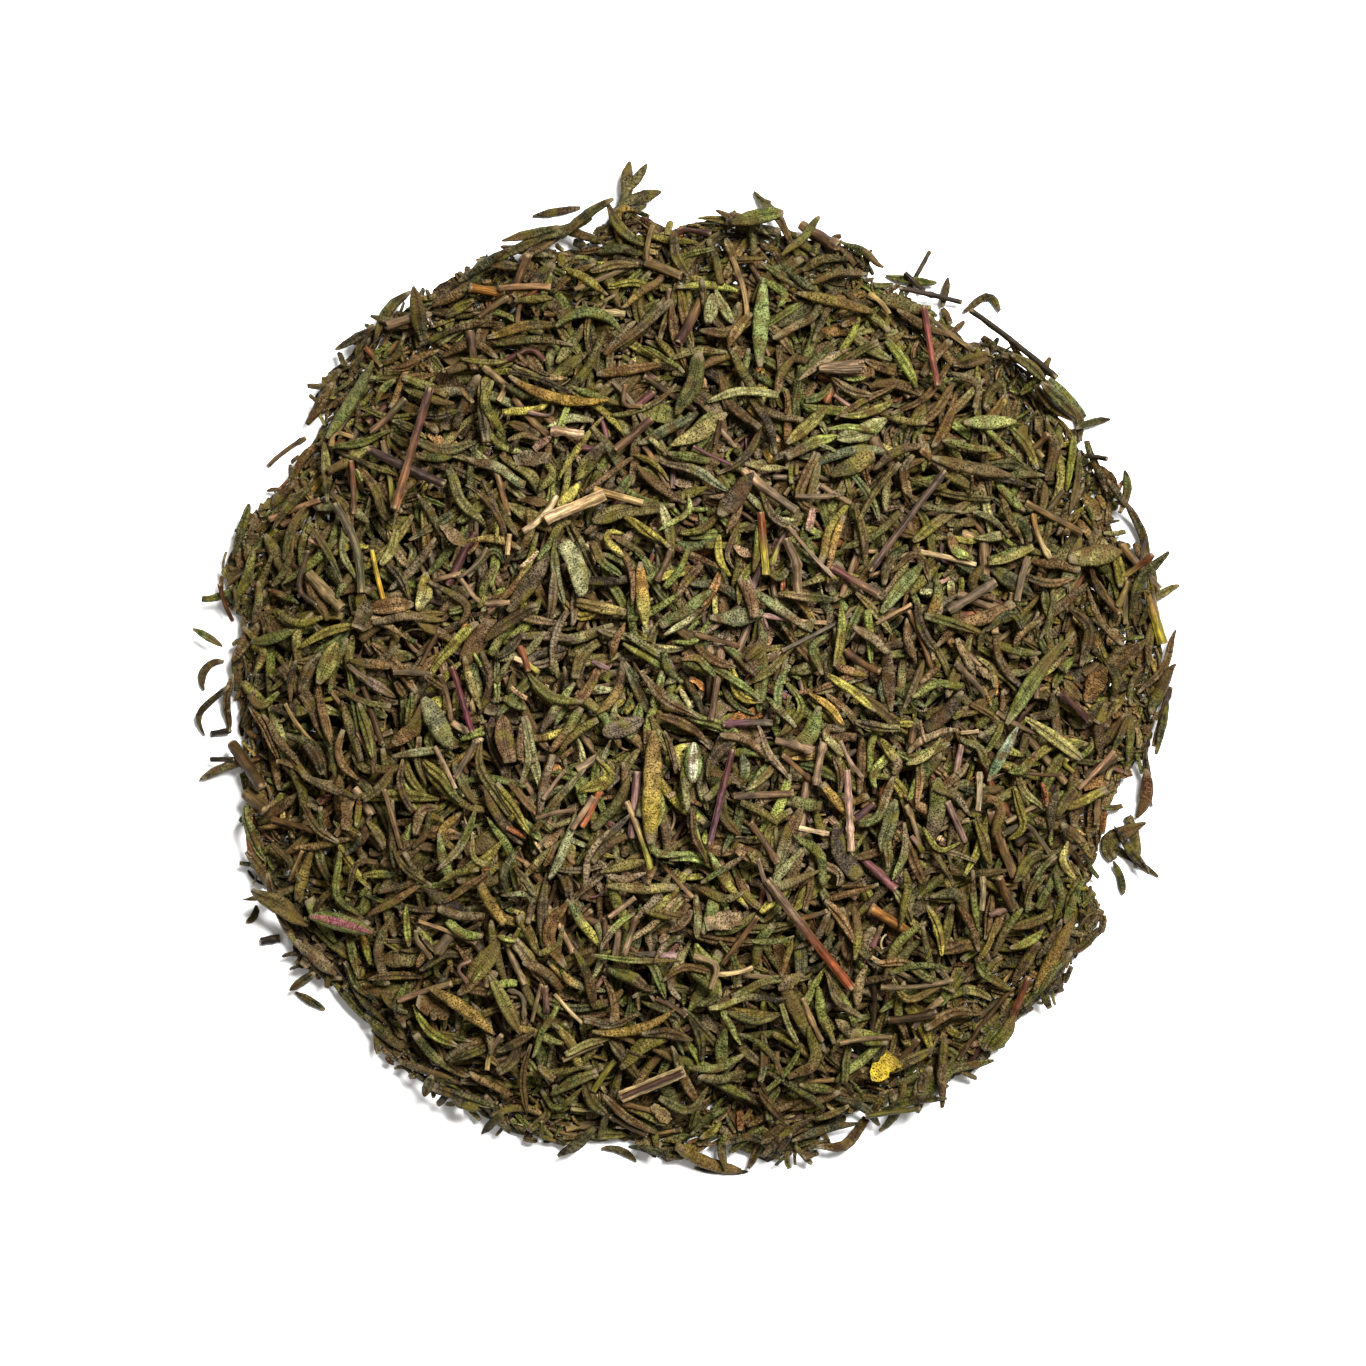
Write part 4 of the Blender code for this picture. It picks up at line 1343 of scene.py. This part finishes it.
def named_bit(name, line, width, thickness):
    """The bit that a CAD node's measures and name call for."""
    stem = any(word in name for word in ("stem", "twig", "chip"))
    usual = tuple(COLOUR_OF[SLOT_OF[name]])
    tint, tip_tint = NAMED_TINTS.get(name, (usual, usual))
    width = width * STEM_SLIMNESS if stem else width
    return Bit(
        "stem" if stem else "leaf",
        length_of(line),
        width,
        width if stem else thickness,
        tint,
        tip_tint=tip_tint,
        roll=180 if name in FACE_DOWN else 0,
        nodes=STEM_NODES.get(name, ()),
        hollow=name in HOLLOW,
        luck=RANDOM.random(),
    )


def core_strand(bit, line, tint, share):
    """The band of another colour that lies along the middle of this bit, a little above it."""
    core = replace(bit, width=bit.width * share, tint=tint, tip_tint=tint, nodes=(), hollow=False)
    if bit.kind == "stem":
        core.thickness = core.width
    lift = (bit.thickness - core.thickness) / 2 + bit.thickness * CORE_LIFT
    return make_strand(core, line + (0, 0, lift), FINE)


def add_named_pieces(leaf, stem):
    """Each CAD piece but the special ones, as a strand along that piece."""
    for name in sorted(set(frame["nodes"]) - set(SPECIAL)):
        line, width, thickness = measure(name)
        bit = named_bit(name, line, width, thickness)
        strands = [make_strand(bit, line, FINE)]
        if name in CORES:
            strands.append(core_strand(bit, line, *CORES[name]))
        make_look(name, strands, stem if bit.kind == "stem" else leaf)


def placed(flat, heading, middle):
    """A flat line turned to a heading (degrees), its middle moved here."""
    turned = turned_by(flat, np.radians([heading]))[0]
    return np.concatenate((turned, flat[:, 2:]), 1) + middle


def box_middle(name):
    low, high = node_box(name)
    return (low + high) / 2


def add_folded_leaf(material):
    """A long thin leaf folded on itself, with its arms side by side."""
    bit = Bit("leaf", 9.6, 1.0, 0.62, PALE_GREEN, 155, bend_at=(0.42, 0.58), foot=0.4, luck=0.4)
    line = evenly(placed(flat_line(bit, np.linspace(0, 1, 60)), -55, (0, 0, 0)), 60)
    line += box_middle("folded_leaf") - (line.min(0) + line.max(0)) / 2
    make_look("folded_leaf", [make_strand(bit, line, FINE)], material)


def add_bud(material):
    """A closed bud: narrow scales that lie round each other."""
    line, width, _ = measure("green_bud")
    strands = []
    scales = 7
    for number in range(scales):
        angle = 2 * math.pi * number / scales
        side, up = directions(line, np.zeros(len(line)))
        bulge = np.sin(math.pi * np.linspace(0.06, 0.94, len(line)))[:, None] ** 0.7 * width * 0.3
        scale_line = line + (side * math.cos(angle) + up * math.sin(angle)) * bulge
        size = (length_of(line), width * 0.45, width * 0.3)
        bit = Bit("leaf", *size, vary(PALE_GREEN, 0.1), roll=math.degrees(angle) - 90, luck=number / scales)
        strands.append(make_strand(bit, scale_line, BUD_DETAIL))
    make_look("green_bud", strands, material)


def add_calyx(material):
    """The dry cup that held a flower: ribs side by side that open into teeth."""
    line, width, _ = measure("dried_calyx")
    side, up = directions(line, np.zeros(len(line)))
    shares = np.linspace(0, 1, len(line))
    radius = width / 2 * np.interp(shares, (0, 0.15, 0.45, 0.8, 1), (0.25, 0.6, 0.85, 0.95, 0.9))
    strands = []
    ribs = 12
    for number in range(ribs):
        angle = 2 * math.pi * number / ribs
        rib_line = line + (side * math.cos(angle) + up * math.sin(angle)) * radius[:, None] * 0.8
        rib = Bit("stem", length_of(line), 0.42, 0.42, vary(TAN, 0.2), luck=number / ribs)
        stop = len(line) - (number % 3) * 3
        strands.append(make_strand(rib, rib_line[:stop], CALYX_DETAIL))
    make_look("dried_calyx", strands, material)


def add_flake(material):
    """A torn yellow scrap, thin and cupped."""
    line, width, _ = measure("yellow_flake")
    size = (length_of(line), width, FLAKE_THICKNESS)
    bit = Bit("flake", *size, FLAKE_YELLOW, foot=0.15, tip=0.95, luck=0.3)
    make_look("yellow_flake", [make_strand(bit, line, FINE)], material)


def add_sprig(leaf, stem):
    """The tip of a twig with its leaves still on."""
    heading, twig_length = 62, 5.2
    rows = (  # start along the twig, turn from its heading, length, width
        (1.6, 20, 3.8, 1.2),
        (0.6, -44, 4.6, 1.35),
        (2.4, -8, 3.4, 1.0),
    )
    shares = np.linspace(0, 1, 30)
    twig = Bit("stem", twig_length, 0.85, 0.85, SPRIG_OLIVE, 10, nodes=(0.45, 0.8), luck=0.6)
    lines = [(twig, placed(flat_line(twig, shares), 0, (0, 0, 0)))]
    for start, turn, length, width in rows:
        tint = vary(SPRIG_OLIVE, 0.2)
        bend = RANDOM.normal(0, 12)
        bit = Bit("leaf", length, width, width * 0.6, tint, bend, luck=RANDOM.random())
        angle = math.radians(turn)
        reach = (length / 2 - 0.15) * np.array((math.cos(angle), math.sin(angle), 0))
        lines.append((bit, placed(flat_line(bit, shares), turn, reach + (start, 0, 0.1))))
    whole = np.concatenate([placed(line, heading, (0, 0, 0)) for _, line in lines])
    shift = box_middle("top_sprig") - (whole.min(0) + whole.max(0)) / 2
    strands = [make_strand(bit, placed(line, heading, shift), FINE) for bit, line in lines]
    make_look("top_sprig", strands[1:], leaf)
    make_piece("top_sprig_twig", strands[:1], stem, "pink_tan_stem", "top_sprig")


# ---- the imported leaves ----


def hidden(heap, line, bit):
    """Whether everything of this piece lies well under the top of the heap."""
    top = heap.top[cells_of(line[:, :2])]
    return bool((line[:, 2] + bit.thickness / 2 < top - HIDDEN_DEPTH).all())


def painted_light_by_distance(bit, distance):
    """The bit with painted light: its colours lighter and paler near the middle of the heap, painted shade
    towards the rim.
    """
    tone = np.array([np.interp(distance, TONE_AT, tones) for tones in zip(*PAINTED_LIGHT_TONES)])
    return replace(bit, tint=tuple(tone * bit.tint), tip_tint=tuple(tone * (bit.tip_tint or bit.tint)))


def add_packed_leaves(heap, leaf, stem, middle):
    """Everything laid on the heap, as pieces of one square of the table each, and one of what is hidden."""
    groups = {}
    for bit, line in heap.laid:
        x, y = line[:, :2].mean(0)
        # Painted light and shade by the distance from the middle.
        bit = painted_light_by_distance(bit, math.hypot(x - middle[0], y - middle[1]))
        kind = "stems" if bit.kind == "stem" else "leaves"
        if hidden(heap, line, bit):
            groups.setdefault(("inner", kind), []).append(make_strand(bit, line, COARSE))
        else:
            tile = f"{int((x + FIRST_TILE) // TILE)}{int((y + FIRST_TILE) // TILE)}"
            groups.setdefault((tile, kind), []).append(make_strand(bit, line, NORMAL))
    for (place, kind), strands in groups.items():
        material, slot = (stem, "tan_stem") if kind == "stems" else (leaf, "packed_leaves")
        make_piece(f"packed_{kind}_{place}", strands, material, slot, "packed_leaves")


# ---- light, table and camera ----

TABLE_SIZE = 3.0  # in metres, like the key light's distance and size
WORLD_COLOUR = (1.0, 0.97, 0.93, 1)
WORLD_STRENGTH = 0.45


def add_table():
    size = TABLE_SIZE / 2
    mesh = bpy.data.meshes.new("table")
    corners = [(-size, -size, 0), (size, -size, 0), (size, size, 0), (-size, size, 0)]
    mesh.from_pydata(corners, [], [(0, 1, 2, 3)])
    mesh.materials.append(floor_surface())
    table = bpy.data.objects.new("table", mesh)
    bpy.context.scene.collection.objects.link(table)


def add_light(name, azimuth, elevation, distance, size, power):
    """A square soft light that looks at the heap. Azimuth is in degrees from +X towards +Y."""
    data = bpy.data.lights.new(name, "AREA")
    data.shape = "SQUARE"
    data.size = size
    data.energy = power
    light = bpy.data.objects.new(name, data)
    turn, lift = math.radians(azimuth), math.radians(elevation)
    way = Vector((math.cos(turn) * math.cos(lift), math.sin(turn) * math.cos(lift), math.sin(lift)))
    light.location = way * distance
    light.rotation_euler = way.to_track_quat("Z", "Y").to_euler()
    bpy.context.scene.collection.objects.link(light)


def add_lights():
    add_light("key", azimuth=50, elevation=62, distance=0.9, size=0.30, power=30.0)
    world = bpy.data.worlds.new("studio")
    world.use_nodes = True
    background = world.node_tree.nodes["Background"]
    background.inputs["Color"].default_value = WORLD_COLOUR
    background.inputs["Strength"].default_value = WORLD_STRENGTH
    bpy.context.scene.world = world
    bpy.context.scene.view_settings.view_transform = "Standard"


def add_camera(middle):
    data = bpy.data.cameras.new("camera")
    data.sensor_width = SENSOR
    data.lens = SENSOR * CAMERA_HEIGHT / FRAME_WIDTH
    camera = bpy.data.objects.new("camera", data)
    x, y = middle + np.array(FRAME_SHIFT) - DOME_MIDDLE
    camera.location = (x * MM, y * MM, CAMERA_HEIGHT * MM)
    bpy.context.scene.collection.objects.link(camera)
    bpy.context.scene.camera = camera


def main():
    low, high = node_box("packed_leaves")
    middle = (low + high)[:2] / 2
    rim = float((high - low)[:2].mean() / 2)
    dome, ceiling = node_heights("packed_leaves", True, 0, step=2), under_named_pieces()
    inside = within_edge(dome, middle)
    heap = Heap(np.where(inside, CARPET_ROOM, 0))
    fill(heap, CARPET_MAKERS, middle, rim, CARPET_FROM, CARPET_MISSES)
    heap.room = room_over(dome, inside, ceiling, FILL_PROUD)
    fill(heap, BIT_MAKERS, middle, rim, 0, MOST_MISSES)
    fill(heap, RIM_MAKERS, middle, rim, rim - RIM_BAND, RIM_MISSES)
    close_gaps(heap)
    scatter_strays(heap, middle, rim)
    lay_by_hand(heap, ceiling, middle)
    heap.room = room_over(dome, inside, np.minimum(ceiling, heap.closed), TOP_PROUD)
    strew(heap, middle, rim)
    leaf = leaf_surface("dried_leaf")
    stem = stem_surface("dry_stem")
    add_packed_leaves(heap, leaf, stem, middle)
    add_named_pieces(leaf, stem)
    add_folded_leaf(leaf)
    add_bud(leaf)
    add_calyx(stem)
    add_flake(leaf)
    add_sprig(leaf, stem)
    add_table()
    add_lights()
    add_camera(middle)


main()
